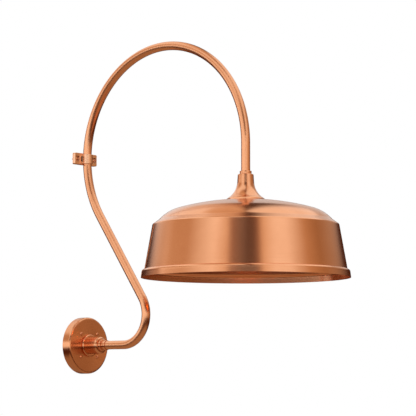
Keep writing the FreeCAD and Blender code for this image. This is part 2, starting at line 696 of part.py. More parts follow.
strap_screw = screw_shape(d.strap_screw_head, d.strap_screw_rise, d.wall_screw_shank, strap_seat,
                          thread=(d.wall_screw_thread, d.strap_screw_bite))
strap_spots = [(strap_seat, d.strap_screw_spacing / 2 * side, strap_z) for side in (-1, 1)]
finish(feature("strap_screw_set", copies(strap_screw, strap_spots, [ALONG_X] * 2)), "strap_screws")

# ---- neck ----

neck_start = point(d.neck_foot_dia / 2, 0)
neck_lip_top = point(d.neck_foot_dia / 2, d.neck_lip)
flare_foot = point(d.neck_foot_dia / 2 - d.neck_bevel, d.neck_lip + d.neck_bevel)
waist = point(d.neck_waist_dia / 2, d.neck_waist_height)
neck_shoulder = rounded_route([waist, point(d.neck_top_dia / 2, d.neck_height),
                               point(pipe_bore_fit / 2, d.neck_height)], [float(d.neck_top_round)])
neck_skin = [Part.makeLine(neck_start, neck_lip_top), Part.makeLine(neck_lip_top, flare_foot),
             arc_edge(flare_foot, waist, -float(d.neck_flare))] + neck_shoulder.Edges
finish(feature("neck_shell", spun(neck_skin, d.neck_sheet), x=shade_x, z=neck_foot), "neck")

neck_sleeve = ring("neck_sleeve", d.neck_collar_dia, pipe_bore_fit, d.neck_collar_height, x=shade_x,
                   z=neck_top)
neck_grub_z = neck_top + d.neck_collar_height / 2
neck_tapping = cylinder("neck_tapping", d.grub_dia + d.pipe_clearance * 2, d.neck_collar_dia,
                        x=shade_x, z=neck_grub_z, turn=TO_MINUS_Y)
finish(cut("neck_collar_cut", neck_sleeve, neck_tapping), "neck_collar")
neck_grub = grub_screw("neck_grub", d.neck_collar_dia, x=shade_x, y=grub_seat, z=neck_grub_z,
                       turn=TO_MINUS_Y)
finish(neck_grub, "neck_grub_screw")

# ---- shade ----


def dome_edges(foot, crown, hole_radius):
    """The dome: an edge arc from its foot, then a flat crown arc up to the hole on the axis."""
    crown_radius, edge_radius = float(d.crown_radius), float(d.knuckle_radius)
    crown_centre = point(0, float(crown) - crown_radius)
    reach = crown_radius - edge_radius
    link = foot - crown_centre
    along = (reach ** 2 - edge_radius ** 2 + link.Length ** 2) / (2 * link.Length)
    aside = math.sqrt(reach ** 2 - along ** 2)
    unit = Vector(link).normalize()
    inward = Vector(-unit.z, 0, unit.x)
    edge_centre = crown_centre + unit * along + inward * aside
    meet = crown_centre + (edge_centre - crown_centre).normalize() * crown_radius
    summit = point(hole_radius, crown_centre.z + math.sqrt(crown_radius ** 2 - hole_radius ** 2))
    return [arc_edge(foot, meet, edge_radius), arc_edge(meet, summit, crown_radius)]


band_top = point(d.band_top_dia / 2, d.rim_height + d.band_height)
band_crease = point(d.band_top_dia / 2 - d.band_shoulder, skirt_foot)
dome_base = point(d.dome_dia / 2, dome_foot)
skirt_corner = point(d.skirt_top_dia / 2, skirt_top)
skirt_run = rounded_route([band_crease, skirt_corner, dome_base], [float(d.shoulder_round)])
nipple_hole = float(d.nipple_dia / 2 + d.screw_clearance)
shade_skin = [Part.makeLine(point(d.rim_dia / 2, d.rim_height), band_top),
              arc_edge(band_top, band_crease, float(d.band_shoulder))]
shade_skin += skirt_run.Edges + dome_edges(dome_base, crown_z, nipple_hole)
finish(feature("shade_shell", spun(shade_skin, d.shade_sheet), x=shade_x), "shade")

# ---- fittings on the pipe's lower end ----

nipple_fit = d.nipple_dia / 2 + d.pipe_clearance
bush_step = d.bush_height - d.pipe_in_bush
bush = turned("bush", [(nipple_fit, 0), (d.bush_dia / 2, 0), (d.bush_dia / 2, d.bush_height),
                       (pipe_bore_fit / 2, d.bush_height), (pipe_bore_fit / 2, bush_step),
                       (d.nipple_bore / 2, bush_step), (d.nipple_bore / 2, d.nipple_in_bush),
                       (nipple_fit, d.nipple_in_bush)],
              x=shade_x, z=bush_top - d.bush_height)
finish(bush, "pipe_bush")
nipple = ring("nipple_tube", d.nipple_dia, d.nipple_bore, nipple_top - nipple_end, x=shade_x, z=nipple_end)
finish(nipple, "nipple")
fit_dia = nipple_fit * 2
shade_washer = ring("shade_washer_ring", d.shade_washer_dia, fit_dia, d.washer_sheet, x=shade_x, z=nut_top)
finish(shade_washer, "shade_washer")
shade_nut = nut("shade_nut", d.shade_nut_flats, fit_dia, d.shade_nut_height, x=shade_x, z=cup_top)
finish(shade_nut, "shade_locknut")

# ---- lamp holder ----

cup_outline = [point(d.cup_dia / 2, 0), point(d.cup_dia / 2, d.cup_height), point(nipple_fit, d.cup_height)]
cup_shell = spun(rounded_route(cup_outline, [float(d.cup_round)]).Edges, d.cup_sheet)
cup_blank = feature("cup_blank", cup_shell, x=shade_x, z=cup_mouth)
cup_screw_z = cup_mouth + d.holder_screw_height
screw_way = d.holder_screw_shank + d.pipe_clearance * 2
cup_holes = cylinder("cup_holes", screw_way, d.cup_dia * 2, x=shade_x, y=d.cup_dia, z=cup_screw_z,
                     turn=TO_MINUS_Y)
finish(cut("cup_cut", cup_blank, cup_holes), "socket_cup")
cup_nut_z = cup_top - d.cup_sheet - d.cup_nut_height
finish(nut("cup_nut_blank", d.cup_nut_flats, fit_dia, d.cup_nut_height, x=shade_x, z=cup_nut_z), "cup_nut")

porcelain = turned("porcelain", [(cavity_radius, 0), (holder_radius, 0), (holder_radius, d.holder_height),
                                 (d.wire_hole_dia / 2, d.holder_height),
                                 (d.wire_hole_dia / 2, d.holder_height - d.holder_floor),
                                 (cavity_radius, d.holder_height - d.holder_floor)],
                   rounds=[(holder_radius, as_size(0), d.holder_round)], x=shade_x, z=holder_mouth)
terminal_ways = []
for index, side in enumerate((-1, 1)):
    terminal_ways.append(cylinder(f"terminal_way_{index}", d.terminal_shank + d.pipe_clearance * 2,
                                  d.terminal_bite * 2, x=shade_x, y=d.terminal_spacing / 2 * side,
                                  z=holder_top - d.terminal_bite))
    terminal_ways.append(cylinder(f"side_way_{index}", screw_way, d.holder_screw_bite * 2, x=shade_x,
                                  y=(holder_radius - d.holder_screw_bite) * side, z=cup_screw_z,
                                  turn=(TO_MINUS_Y, TO_PLUS_Y)[index]))
finish(cut("porcelain_cut", porcelain, group("terminal_ways", terminal_ways)), "lamp_holder")

side_screw = screw_shape(d.holder_screw_head, d.holder_screw_rise, d.holder_screw_shank,
                         d.cup_dia / 2 - holder_radius + d.holder_screw_bite)
side_spots = [(shade_x, (d.cup_dia / 2 + d.seat_gap) * side, cup_screw_z) for side in (-1, 1)]
finish(feature("side_screw_set", copies(side_screw, side_spots, [TO_MINUS_Y, TO_PLUS_Y])), "holder_screws")

shell_dia = shell_radius * 2
shell_foot = holder_mouth + d.shell_inset
finish(ring("shell_tube", shell_dia + d.shell_wall * 2, shell_dia, d.cap_length, x=shade_x, z=shell_foot),
       "screw_shell")

tongue_low = float(contact_tip + d.seat_gap)
tongue_high = float(cavity_top - d.tongue_sheet)
tongue_start = -float(cavity_radius - d.tongue_margin)
ramp_start = tongue_start + float(d.tongue_foot)
pad_start = ramp_start + float(d.tongue_ramp)
tongue_skin = [point(tongue_start, tongue_high), point(ramp_start, tongue_high),
               point(pad_start, tongue_low), point(pad_start + float(d.tongue_pad), tongue_low)]
lift = Vector(0, 0, float(d.tongue_sheet))
tongue_corners = tongue_skin + [spot + lift for spot in reversed(tongue_skin)]
tongue_face = Part.Face(Part.makePolygon(tongue_corners + tongue_corners[:1]))
tongue_shape = tongue_face.extrude(Vector(0, float(d.tongue_width), 0))
finish(feature("tongue", tongue_shape, x=shade_x, y=-(d.tongue_width / 2)), "contact_tongue")

terminal = screw_shape(d.terminal_head, d.terminal_rise, d.terminal_shank, d.terminal_bite)
terminal_spots = [(shade_x, d.terminal_spacing / 2 * side, holder_top) for side in (-1, 1)]
finish(feature("terminal_set", copies(terminal, terminal_spots, [UPRIGHT] * 2)), "terminal_screws")

# ---- lamp ----

cap_outline = [point(d.cap_dia / 2, 0), point(d.cap_dia / 2, d.cap_length),
               point(d.contact_dia / 2, d.cap_length)]
cap_shell = spun(rounded_route(cap_outline, [float(d.cap_round)]).Edges, d.cap_sheet)
finish(feature("cap_shell", cap_shell, x=shade_x, z=cap_foot), "bulb_cap")
insulator = cone("insulator", d.insulator_foot_dia, d.insulator_tip_dia, d.insulator_height, x=shade_x,
                 z=cap_top)
finish(insulator, "bulb_insulator")
finish(cylinder("contact_pip", d.contact_dia, d.contact_height - d.seat_gap, x=shade_x,
                z=contact_base + d.seat_gap), "bulb_contact")

globe_radius = float(d.globe_dia) / 2
globe_centre = point(0, globe_radius)
glass_inset = d.cap_dia / 2 - d.cap_sheet - d.lamp_clearance
glass_shoulder = point(glass_inset + d.glass_shoulder_out, d.glass_length - d.glass_shoulder_drop)
glass_waist = point(glass_inset, d.glass_length - d.glass_waist_drop)
glass_top = point(glass_inset, d.glass_length + d.glass_neck_length)
to_shoulder = glass_shoulder - globe_centre
touch_angle = math.atan2(to_shoulder.z, to_shoulder.x) - math.acos(globe_radius / to_shoulder.Length)
globe_touch = globe_centre + point(math.cos(touch_angle), math.sin(touch_angle)) * globe_radius
globe_side = globe_centre + point(globe_radius, 0)
glass_skin = [arc_edge(point(0, 0), globe_side, globe_radius),
              arc_edge(globe_side, globe_touch, globe_radius)]
glass_rounds = [float(d.glass_shoulder_round), float(d.glass_waist_round)]
glass_skin += rounded_route([globe_touch, glass_shoulder, glass_waist, glass_top], glass_rounds).Edges
finish(feature("glass_shell", spun(glass_skin, d.glass_wall), x=shade_x, z=glass_tip), "bulb_glass")

stem_foot = cap_foot - d.stem_length
stem_flange_dia = d.cap_dia - (d.cap_sheet + d.lamp_clearance * 2 + d.glass_wall) * 2
flange_z = cap_foot + d.stem_flange_inset
stem_flange = cylinder("stem_flange", stem_flange_dia, d.stem_flange_sheet, x=shade_x, z=flange_z)
stem_rod = cylinder("stem_rod", d.stem_dia, d.stem_length + d.stem_flange_inset + d.stem_flange_sheet / 2,
                    x=shade_x, z=stem_foot)
finish(fuse("stem_fuse", [stem_flange, stem_rod]), "bulb_stem")


def rod(start, end, radius):
    """A straight round rod between two points."""
    return Part.makeCylinder(radius, (end - start).Length, start, end - start)


stick_radius, wire_radius = float(d.filament_dia) / 2, float(d.filament_wire_dia) / 2
low_circle = float(d.filament_circle) / 2
high_circle = low_circle * 2 / 3
stick_top = float(cap_foot - d.filament_inset)
stick_foot = stick_top - math.sqrt(float(d.filament_length) ** 2 - (low_circle - high_circle) ** 2)
lamp_axis = Vector(float(shade_x), 0, 0)
sticks, wires = [], []
for index in range(int(float(d.filament_count))):
    angle = 2 * math.pi * (index + 0.5) / float(d.filament_count)
    out = Vector(math.cos(angle), math.sin(angle), 0)
    high = lamp_axis + out * high_circle + Vector(0, 0, stick_top)
    low = lamp_axis + out * low_circle + Vector(0, 0, stick_foot)
    sticks.append(rod(high, low, stick_radius))
    wire_drop = Vector(0, 0, stick_radius * 2)
    wire_start = lamp_axis + out * float(d.stem_dia / 2 + d.seat_gap) + Vector(0, 0, stick_top) - wire_drop
    wires.append(rod(wire_start, high - wire_drop - out * stick_radius, wire_radius))
wires.append(Part.makeTorus(low_circle, wire_radius, lamp_axis + Vector(0, 0, stick_foot - wire_radius)))
finish(feature("filament_set", Part.Compound(sticks)), "bulb_filaments")
finish(feature("filament_wire_set", Part.Compound(wires)), "filament_wires")

# ---- wiring ----

lead_radius = float(d.lead_dia) / 2
lead_bend = float(d.lead_bend)
terminal_z = float(holder_top + d.soft_gap) + lead_radius
terminal_side = float(d.terminal_spacing / 2 - d.terminal_head / 2 - d.soft_gap)


def arm_lead(side):
    """A lead from its connector behind the plate, through the pipe, to its terminal; side is -1 or 1."""
    offset = side * float(d.lead_offset)
    corners = arm_corners(d.connector_depth, offset, terminal_z)
    start = Vector(float(d.connector_depth), side * float(d.connector_distance), 0)
    end = Vector(float(shade_x), side * terminal_side, terminal_z)
    return swept([start] + corners + [end], [lead_bend] + ARM_BENDS + [lead_bend], lead_radius)


finish(feature("live_lead", arm_lead(-1)), "lead_black")
finish(feature("neutral_lead", arm_lead(1)), "lead_white")

ground_z = float(d.ground_height)
ground_x = float(lug_x - d.soft_gap) - lead_radius
connector_x = float(d.connector_depth)
ground_start = -float(d.ground_head / 2 + d.soft_gap)
ground_turn = ground_start - lead_bend - lead_radius
ground_mouth = -float(d.ground_connector_distance)
ground_points = [Vector(ground_x, ground_start, ground_z), Vector(ground_x, ground_turn, ground_z),
                 Vector(connector_x, ground_turn, ground_z), Vector(connector_x, ground_mouth, ground_z)]
finish(feature("ground_wire", swept(ground_points, [lead_bend] * 2, lead_radius)), "lead_ground")

ground_screw = screw_shape(d.ground_head, d.ground_rise, d.ground_shank, d.ground_bite)
ground_spot = (lug_x, 0, d.ground_height)
finish(feature("ground_screw_one", copies(ground_screw, [ground_spot], [TO_MINUS_X])), "ground_screw")

connectors = []
for kind, mouth, high, turn in (("live", -d.connector_distance, 0, TO_MINUS_Y),
                                ("neutral", d.connector_distance, 0, TO_PLUS_Y),
                                ("ground", -d.ground_connector_distance, d.ground_height, TO_MINUS_Y)):
    connectors.append(cone(f"{kind}_connector", d.connector_dia, d.connector_tip_dia, d.connector_length,
                           x=d.connector_depth, y=mouth, z=high, turn=turn))
finish(group("connector_set", connectors), "wire_connectors")

# ---- check and export ----

doc.recompute()
for item in doc.Objects:
    for state in ("Invalid", "Error"):
        if state in item.State:
            raise RuntimeError(f"{item.Label} is {state}")
os.makedirs("parts", exist_ok=True)
for item in parts:
    shape = item.Shape
    if shape.isNull() or not shape.isValid():
        raise RuntimeError(f"{item.Label} has no valid shape")
    if abs(shape.Volume) < 0.1 or not shape.Solids:
        raise RuntimeError(f"{item.Label} is not a solid")
    shape.exportStep(f"parts/{item.Label}.step")
    print(f"{item.Label}: {len(shape.Solids)} solids, {shape.Volume:.1f} mm3")
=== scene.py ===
"""Gooseneck wall sconce in satin copper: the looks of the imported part, in metres and in its own frame."""
import math

import bmesh
import bpy
from mathutils import Matrix, Vector


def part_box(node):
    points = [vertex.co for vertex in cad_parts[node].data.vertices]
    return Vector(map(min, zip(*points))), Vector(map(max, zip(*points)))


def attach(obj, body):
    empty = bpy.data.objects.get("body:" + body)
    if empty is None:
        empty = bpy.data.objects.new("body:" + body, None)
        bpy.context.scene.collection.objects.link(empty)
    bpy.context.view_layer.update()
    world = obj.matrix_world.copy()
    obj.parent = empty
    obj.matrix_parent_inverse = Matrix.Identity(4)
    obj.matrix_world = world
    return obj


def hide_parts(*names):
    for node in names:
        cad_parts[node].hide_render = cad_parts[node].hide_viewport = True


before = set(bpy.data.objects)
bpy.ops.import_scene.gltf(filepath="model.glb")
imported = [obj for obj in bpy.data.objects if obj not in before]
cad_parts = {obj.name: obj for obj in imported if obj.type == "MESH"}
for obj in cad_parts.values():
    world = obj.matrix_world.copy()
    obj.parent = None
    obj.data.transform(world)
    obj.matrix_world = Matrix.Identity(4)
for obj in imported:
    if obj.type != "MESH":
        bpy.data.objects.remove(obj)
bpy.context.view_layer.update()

MM = 0.001

# ---- places and sizes that pieces share, in metres ----

SHADE_X = (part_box("shade")[0][0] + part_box("shade")[1][0]) / 2
NECK_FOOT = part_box("neck")[0][2]
PLATE_FACE = 24 * MM
STRAP_Z = (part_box("pipe_strap")[0][2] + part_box("pipe_strap")[1][2]) / 2
PIPE_RADIUS = 10.65 * MM
PIPE_BORE = 7.9 * MM
PIPE_START = 30 * MM
PIPE_END = 375.6 * MM
PIPE_FROM_WALL = 13.5 * MM
STUB_LENGTH = 142 * MM
LOWER_BEND = 73 * MM
BIG_BEND = 258 * MM
LEAN = math.radians(34.6)
STRAP_SEAT = 5.85 * MM
LUG_X = 19.2 * MM
CUP_MOUTH = 297.87 * MM
CUP_SCREW_Z = 304.87 * MM
HOLDER_MOUTH = 262.87 * MM
HOLDER_TOP = 311.87 * MM
CAP_FOOT = 263.17 * MM
CONTACT_FOOT = 292.97 * MM
GLASS_TIP = 185.17 * MM
COLLAR_PLACE = 73 * MM
SHELL_FOOT = HOLDER_MOUTH + 1.5 * MM
STRAP_HOLE_Y = 30 * MM
CUP_SCREW_Y = 24.1 * MM
TERMINAL_Y = 11 * MM
GROUND_SCREW_Z = 42 * MM
CONNECTOR_X = 6.8 * MM


# ---- small helpers ----

def linear(hex_colour):
    """An sRGB hex colour as linear RGBA."""
    channels = [int(hex_colour[i:i + 2], 16) / 255 for i in (1, 3, 5)]
    return tuple(c / 12.92 if c <= 0.04045 else ((c + 0.055) / 1.055) ** 2.4 for c in channels) + (1.0,)


def add(tree, kind, links=(), **settings):
    """Adds a node; settings are its properties or, by their socket's name, its inputs."""
    node = tree.nodes.new(kind)
    for name, value in settings.items():
        if hasattr(node, name):
            setattr(node, name, value)
        else:
            node.inputs[name.replace("_", " ")].default_value = value
    for socket, source in links:
        tree.links.new(source, node.inputs[socket])
    return node


def ramp(tree, source, stops):
    """A colour ramp over source; each stop is (place from 0 to 1, hex colour)."""
    node = add(tree, "ShaderNodeValToRGB", [("Fac", source)])
    band = node.color_ramp
    while len(band.elements) < len(stops):
        band.elements.new(0.5)
    for element, (place, colour) in zip(band.elements, stops):
        element.position = place
        element.color = linear(colour)
    return node.outputs["Color"]


def spread(tree, source, low, high):
    """Turns a pattern that runs from 0 to 1 into one that runs from low to high."""
    return add(tree, "ShaderNodeMapRange", [("Value", source)], To_Min=low, To_Max=high).outputs["Result"]


# ---- materials ----

def new_material(name):
    """An empty material and its tree, with its surface output."""
    material = bpy.data.materials.new(name)
    material.use_nodes = True
    material.node_tree.nodes.clear()
    return material, material.node_tree, add(material.node_tree, "ShaderNodeOutputMaterial")


def pattern(tree, vector, size, detail=4.0, roughness=0.55):
    """Cloudy noise over vector, whose marks are size metres long on each axis; 0 makes them endless."""
    scale = tuple(1 / length if length else 0.0 for length in size)
    stretched = add(tree, "ShaderNodeMapping", [("Vector", vector)], Scale=scale)
    noise = add(tree, "ShaderNodeTexNoise", [("Vector", stretched.outputs["Vector"])], Scale=1.0, Detail=detail,
                Roughness=roughness)
    return noise.outputs["Fac"]


def metal(name, light, dark, roughness, marks, mark_size, relief, anisotropic=0.0, coat=0.0, spin=0.25,
          painted_hollow_shade=None):
    """A metal with fine marks from its making. marks is UV for turned work, Object, or an attribute's name.

    The colour runs from dark to light with the marks, which also carry the relief in metres. The last argument,
    when given, is the colour of painted shade laid by ambient occlusion into hollows narrower than about 5 mm."""
    material, tree, output = new_material(name)
    places = add(tree, "ShaderNodeTexCoord")
    if marks in ("UV", "Object"):
        vector = places.outputs[marks]
    else:
        vector = add(tree, "ShaderNodeAttribute", attribute_name=marks).outputs["Vector"]
    lines = pattern(tree, vector, mark_size, detail=6.0, roughness=0.7)
    clouds = pattern(tree, places.outputs["Object"], (60 * MM, 60 * MM, 60 * MM), detail=3.0)
    both = add(tree, "ShaderNodeMix", [("A", lines), ("B", clouds)], Factor=0.35)
    tone = ramp(tree, both.outputs["Result"], [(0.3, dark), (0.7, light)])
    # painted shade: ambient occlusion darkens hollows narrower than about 5 mm towards the given colour
    if painted_hollow_shade:
        hollow = add(tree, "ShaderNodeAmbientOcclusion", samples=8, only_local=True, Distance=5 * MM)
        reach = ramp(tree, hollow.outputs["AO"], [(0.45, painted_hollow_shade), (0.8, "#FFFFFF")])
        tone = add(tree, "ShaderNodeMixRGB", [("Color1", tone), ("Color2", reach)], blend_type="MULTIPLY",
                   Fac=1.0).outputs["Color"]
    gloss = spread(tree, both.outputs["Result"], roughness * 1.25, roughness * 0.75)
    bump = add(tree, "ShaderNodeBump", [("Height", lines)], Strength=0.6, Distance=relief)
    shader = add(tree, "ShaderNodeBsdfPrincipled",
                 [("Base Color", tone), ("Roughness", gloss), ("Normal", bump.outputs["Normal"])],
                 Metallic=1.0, Anisotropic=anisotropic, Anisotropic_Rotation=spin, Coat_Weight=coat,
                 Coat_Roughness=0.08)
    if anisotropic and marks == "UV":
        grain = add(tree, "ShaderNodeTangent", direction_type="UV_MAP", uv_map="UVMap")
        tree.links.new(grain.outputs["Tangent"], shader.inputs["Tangent"])
    elif anisotropic:
        grain = add(tree, "ShaderNodeAttribute", attribute_name="tube_run")
        tree.links.new(grain.outputs["Vector"], shader.inputs["Tangent"])
    tree.links.new(shader.outputs["BSDF"], output.inputs["Surface"])
    return material


def moulded(name, light, dark, roughness, grain, relief, **more):
    """A plastic, rubber or ceramic with its fine surface grain, in metres, and a slight change of tone."""
    material, tree, output = new_material(name)
    place = add(tree, "ShaderNodeTexCoord").outputs["Object"]
    specks = pattern(tree, place, (grain, grain, grain))
    tone = ramp(tree, specks, [(0.35, dark), (0.65, light)])
    gloss = spread(tree, specks, roughness * 0.85, roughness * 1.15)
    bump = add(tree, "ShaderNodeBump", [("Height", specks)], Strength=0.5, Distance=relief)
    shader = add(tree, "ShaderNodeBsdfPrincipled",
                 [("Base Color", tone), ("Roughness", gloss), ("Normal", bump.outputs["Normal"])], **more)
    tree.links.new(shader.outputs["BSDF"], output.inputs["Surface"])
    return material


# Copper sheet spun on a lathe, brushed while it turned, then lacquered: rings of fine scratches stretch each
# reflection up and down. Real scratches are 0.1 mm apart; these are drawn 1.5 mm apart so that they show.
SPUN_COPPER = metal("spun_copper_lacquered", "#F3B287", "#E59F73", 0.2, "UV", (0, 1.5 * MM, 0), 0.003 * MM,
                    anisotropic=0.7, coat=0.08)
# Copper sheet for the wall plate, spun and brushed the same way: deeper rings, 1 mm apart, leave it a little
# darker and more matt than the shade.
PLATE_COPPER = metal("spun_copper_plate", "#EFAC80", "#DC9466", 0.26, "UV", (0, 1.0 * MM, 0), 0.006 * MM,
                     anisotropic=0.85, coat=0.08)
# Copper tube, drawn, bent and linished along its length: its scratches follow the bends.
DRAWN_COPPER = metal("drawn_copper_tube", "#F3B287", "#E59F73", 0.28, "tube_place",
                     (0.8 * MM, 0.8 * MM, 60 * MM), 0.008 * MM, anisotropic=0.6, coat=0.05)
# Solid copper alloy turned from bar, with the fine spiral that the cutting tool leaves, 0.5 mm apart.
TURNED_COPPER = metal("turned_copper_bar", "#F3B287", "#E39A6C", 0.24, "UV", (0, 0.5 * MM, 0), 0.006 * MM,
                      anisotropic=0.5, coat=0.12)
# Copper-plated casting, tumbled with fine grit: an even satin with soft grains about 0.4 mm across. Its pale
# tone, lighter than the other copper, is a painted highlight, and its hollows are darkened with painted shade.
CAST_COPPER_PAINTED_LIGHT = metal("cast_copper_plated_painted_light", "#FFD2B0", "#F2B48C", 0.3, "Object", (0.4 * MM, 0.4 * MM, 0.4 * MM),
                    0.004 * MM, coat=0.2, painted_hollow_shade="#6E3A1C")
# Copper-plated steel screws, polished by tumbling: bright, with faint pits.
PLATED_SCREW = metal("copper_plated_screw", "#F3B287", "#DE9566", 0.2, "Object", (0.6 * MM, 0.6 * MM, 0.6 * MM),
                     0.006 * MM, coat=0.1)
# Zinc-plated steel, dull bright: a cool grey with small spangles.
ZINC_STEEL = metal("zinc_plated_steel", "#C9CDD2", "#A8ADB3", 0.32, "Object", (1.2 * MM, 1.2 * MM, 1.2 * MM),
                   0.01 * MM)
# Sheet brass, rolled and stamped, with faint rolling lines along Z.
ROLLED_BRASS = metal("rolled_brass", "#DDBB6A", "#C79F4C", 0.28, "Object", (0.4 * MM, 0.4 * MM, 6 * MM),
                     0.006 * MM)
# Nickel-plated lamp cap, drawn from sheet and rolled: bright, slightly warm.
NICKEL_CAP = metal("nickel_plated_cap", "#D6D2C8", "#BDB8AC", 0.22, "Object", (2 * MM, 2 * MM, 0.4 * MM),
                   0.006 * MM)
# Green-passivated steel of an earthing screw.
GREEN_STEEL = metal("green_passivated_steel", "#5E9A62", "#457E4C", 0.34, "Object",
                    (0.8 * MM, 0.8 * MM, 0.8 * MM), 0.01 * MM)
# Electrical porcelain, glazed and fired: warm white, glossy, with a slow ripple in the glaze.
PORCELAIN = moulded("glazed_porcelain", "#F4F1E8", "#E9E4D8", 0.12, 6 * MM, 0.03 * MM, IOR=1.52,
                    Coat_Weight=0.6, Coat_Roughness=0.04)
# Closed-cell foam gasket: soft black with 0.5 mm cells.
FOAM = moulded("closed_cell_foam", "#3B3B3D", "#1F1F21", 0.92, 0.5 * MM, 0.2 * MM)
# Vitrite, the black glass that parts a lamp's cap from its contact.
BLACK_GLASS = moulded("black_vitrite", "#17161A", "#0D0C0F", 0.14, 2 * MM, 0.02 * MM, IOR=1.55)
# Extruded PVC insulation in three colours, smooth with a faint waxy bloom.
BLACK_PVC = moulded("black_pvc", "#232325", "#18181A", 0.42, 1.5 * MM, 0.01 * MM)
WHITE_PVC = moulded("white_pvc", "#ECEAE2", "#DDDAD0", 0.42, 1.5 * MM, 0.01 * MM)
GREEN_PVC = moulded("green_pvc", "#2F8A48", "#236E38", 0.42, 1.5 * MM, 0.01 * MM)
# Moulded nylon of the wire connectors, with a fine spark-eroded texture.
ORANGE_NYLON = moulded("moulded_orange_nylon", "#E58A2E", "#CF7520", 0.4, 0.6 * MM, 0.02 * MM)


def lamp_glass(name):
    """Clear soda-lime glass, blown or pressed: smooth, with a slow ripple left by the hot glass."""
    material, tree, output = new_material(name)
    ripple = pattern(tree, add(tree, "ShaderNodeTexCoord").outputs["Object"], (25 * MM, 25 * MM, 25 * MM),
                     detail=1.0)
    bump = add(tree, "ShaderNodeBump", [("Height", ripple)], Strength=0.3, Distance=0.2 * MM)
    shader = add(tree, "ShaderNodeBsdfPrincipled", [("Normal", bump.outputs["Normal"])],
                 Base_Color=linear("#FFF6E8"), Roughness=0.01, IOR=1.5, Transmission_Weight=1.0)
    # light from inside passes straight through, which a bent path would leave to chance
    clear = add(tree, "ShaderNodeBsdfTransparent", Color=linear("#FFF6E8"))
    ray = add(tree, "ShaderNodeLightPath")
    both = add(tree, "ShaderNodeMixShader", [("Fac", ray.outputs["Is Shadow Ray"]), (1, shader.outputs["BSDF"]),
                                             (2, clear.outputs["BSDF"])])
    tree.links.new(both.outputs["Shader"], output.inputs["Surface"])
    return material


def glowing_phosphor():
    """Yellow phosphor over light-emitting chips: ribs 1.2 mm apart that glow a warm orange."""
    material, tree, output = new_material("glowing_phosphor")
    place = add(tree, "ShaderNodeTexCoord").outputs["Object"]
    ribs = add(tree, "ShaderNodeTexWave", [("Vector", place)], wave_type="BANDS", bands_direction="Z",
               Scale=2 * math.pi / (20 * 1.2 * MM), Distortion=0.5)
    tone = ramp(tree, ribs.outputs["Fac"], [(0.0, "#FF9A3C"), (1.0, "#FFC070")])
    shader = add(tree, "ShaderNodeBsdfPrincipled", [("Base Color", tone), ("Emission Color", tone)],
                 Roughness=0.5, Emission_Strength=6.0)
    tree.links.new(shader.outputs["BSDF"], output.inputs["Surface"])
    return material


# The blown globe, the pressed stem in it and the strips that glow on the stem, as their functions say.
LAMP_GLASS = lamp_glass("blown_lamp_glass")
STEM_GLASS = lamp_glass("pressed_stem_glass")
PHOSPHOR = glowing_phosphor()
# Matt painted board of the studio floor, with a faint roller texture; clear from below, for views from there.
PALE_FLOOR = moulded("painted_floor_board", "#EFEDEA", "#E6E4E0", 0.75, 3 * MM, 0.05 * MM)
floor_tree = PALE_FLOOR.node_tree
board = floor_tree.nodes["Principled BSDF"]
underside = add(floor_tree, "ShaderNodeMixShader",
                [("Fac", add(floor_tree, "ShaderNodeNewGeometry").outputs["Backfacing"]),
                 (1, board.outputs["BSDF"]), (2, add(floor_tree, "ShaderNodeBsdfTransparent").outputs["BSDF"])])
floor_tree.links.new(underside.outputs["Shader"], floor_tree.nodes["Material Output"].inputs["Surface"])


# ---- outlines and meshes ----

def arc(start, end, radius, steps=12):
    """Points of an arc from start to end; it turns left when radius > 0."""
    start, end = Vector(start), Vector(end)
    chord = end - start
    side = Vector((-chord.y, chord.x)).normalized()
    centre = (start + end) / 2 + side * math.copysign(math.sqrt(radius ** 2 - chord.length ** 2 / 4), radius)
    first = start - centre
    swing = first.angle_signed(end - centre)
    return [centre + Matrix.Rotation(-swing * i / steps, 2) @ first for i in range(steps + 1)]


def corner_arc(before, corner, after, radius, steps):
    """The tangent arc that rounds one corner."""
    before, corner, after = Vector(before), Vector(corner), Vector(after)
    back, ahead = (before - corner).normalized(), (after - corner).normalized()
    tangent = radius * math.tan((math.pi - back.angle(ahead)) / 2)
    turn = math.copysign(radius, (corner - before).cross(after - corner))
    return arc(corner + back * tangent, corner + ahead * tangent, turn, steps)


def rounded(corners, radii, steps=8):
    """An open outline with each of its inner corners rounded to a radius of its own."""
    outline = [Vector(corners[0])]
    for before, corner, after, radius in zip(corners, corners[1:], corners[2:], radii):
        outline += corner_arc(before, corner, after, radius, steps)
    return outline + [Vector(corners[-1])]


def eased(corners, edge, special=(), steps=5):
    """A closed outline with every corner rounded to edge, or to the radius that special gives its index."""
    outline = []
    for index, corner in enumerate(corners):
        after = corners[(index + 1) % len(corners)]
        outline += corner_arc(corners[index - 1], corner, after, dict(special).get(index, edge), steps)
    return outline


def finer(outline, step):
    """The outline with its long runs divided, so that shading follows the curve."""
    points = [Vector(outline[0])]
    for start, end in zip(outline, outline[1:]):
        count = max(1, math.ceil((end - start).length / step - 0.01))
        points += [start.lerp(end, i / count) for i in range(1, count + 1)]
    return points


def sheet_section(outline, sheet):
    """The closed section of a sheet of even thickness, whose outer skin is the outline, with round edges."""
    inner = []
    for index, spot in enumerate(outline):
        along = (outline[min(index + 1, len(outline) - 1)] - outline[max(index - 1, 0)]).normalized()
        inner.append(spot + Vector((-along.y, along.x)) * sheet)
    ends = []
    for here, there, out in ((outline[-1], inner[-1], outline[-1] - outline[-2]),
                             (inner[0], outline[0], outline[0] - outline[1])):
        out = out.normalized() * sheet / 2
        ends.append([here.lerp(there, 0.5 - 0.5 * math.cos(math.pi * i / 6))
                     + out * math.sin(math.pi * i / 6) - out for i in range(1, 6)])
    return outline + ends[0] + inner[::-1] + ends[1]


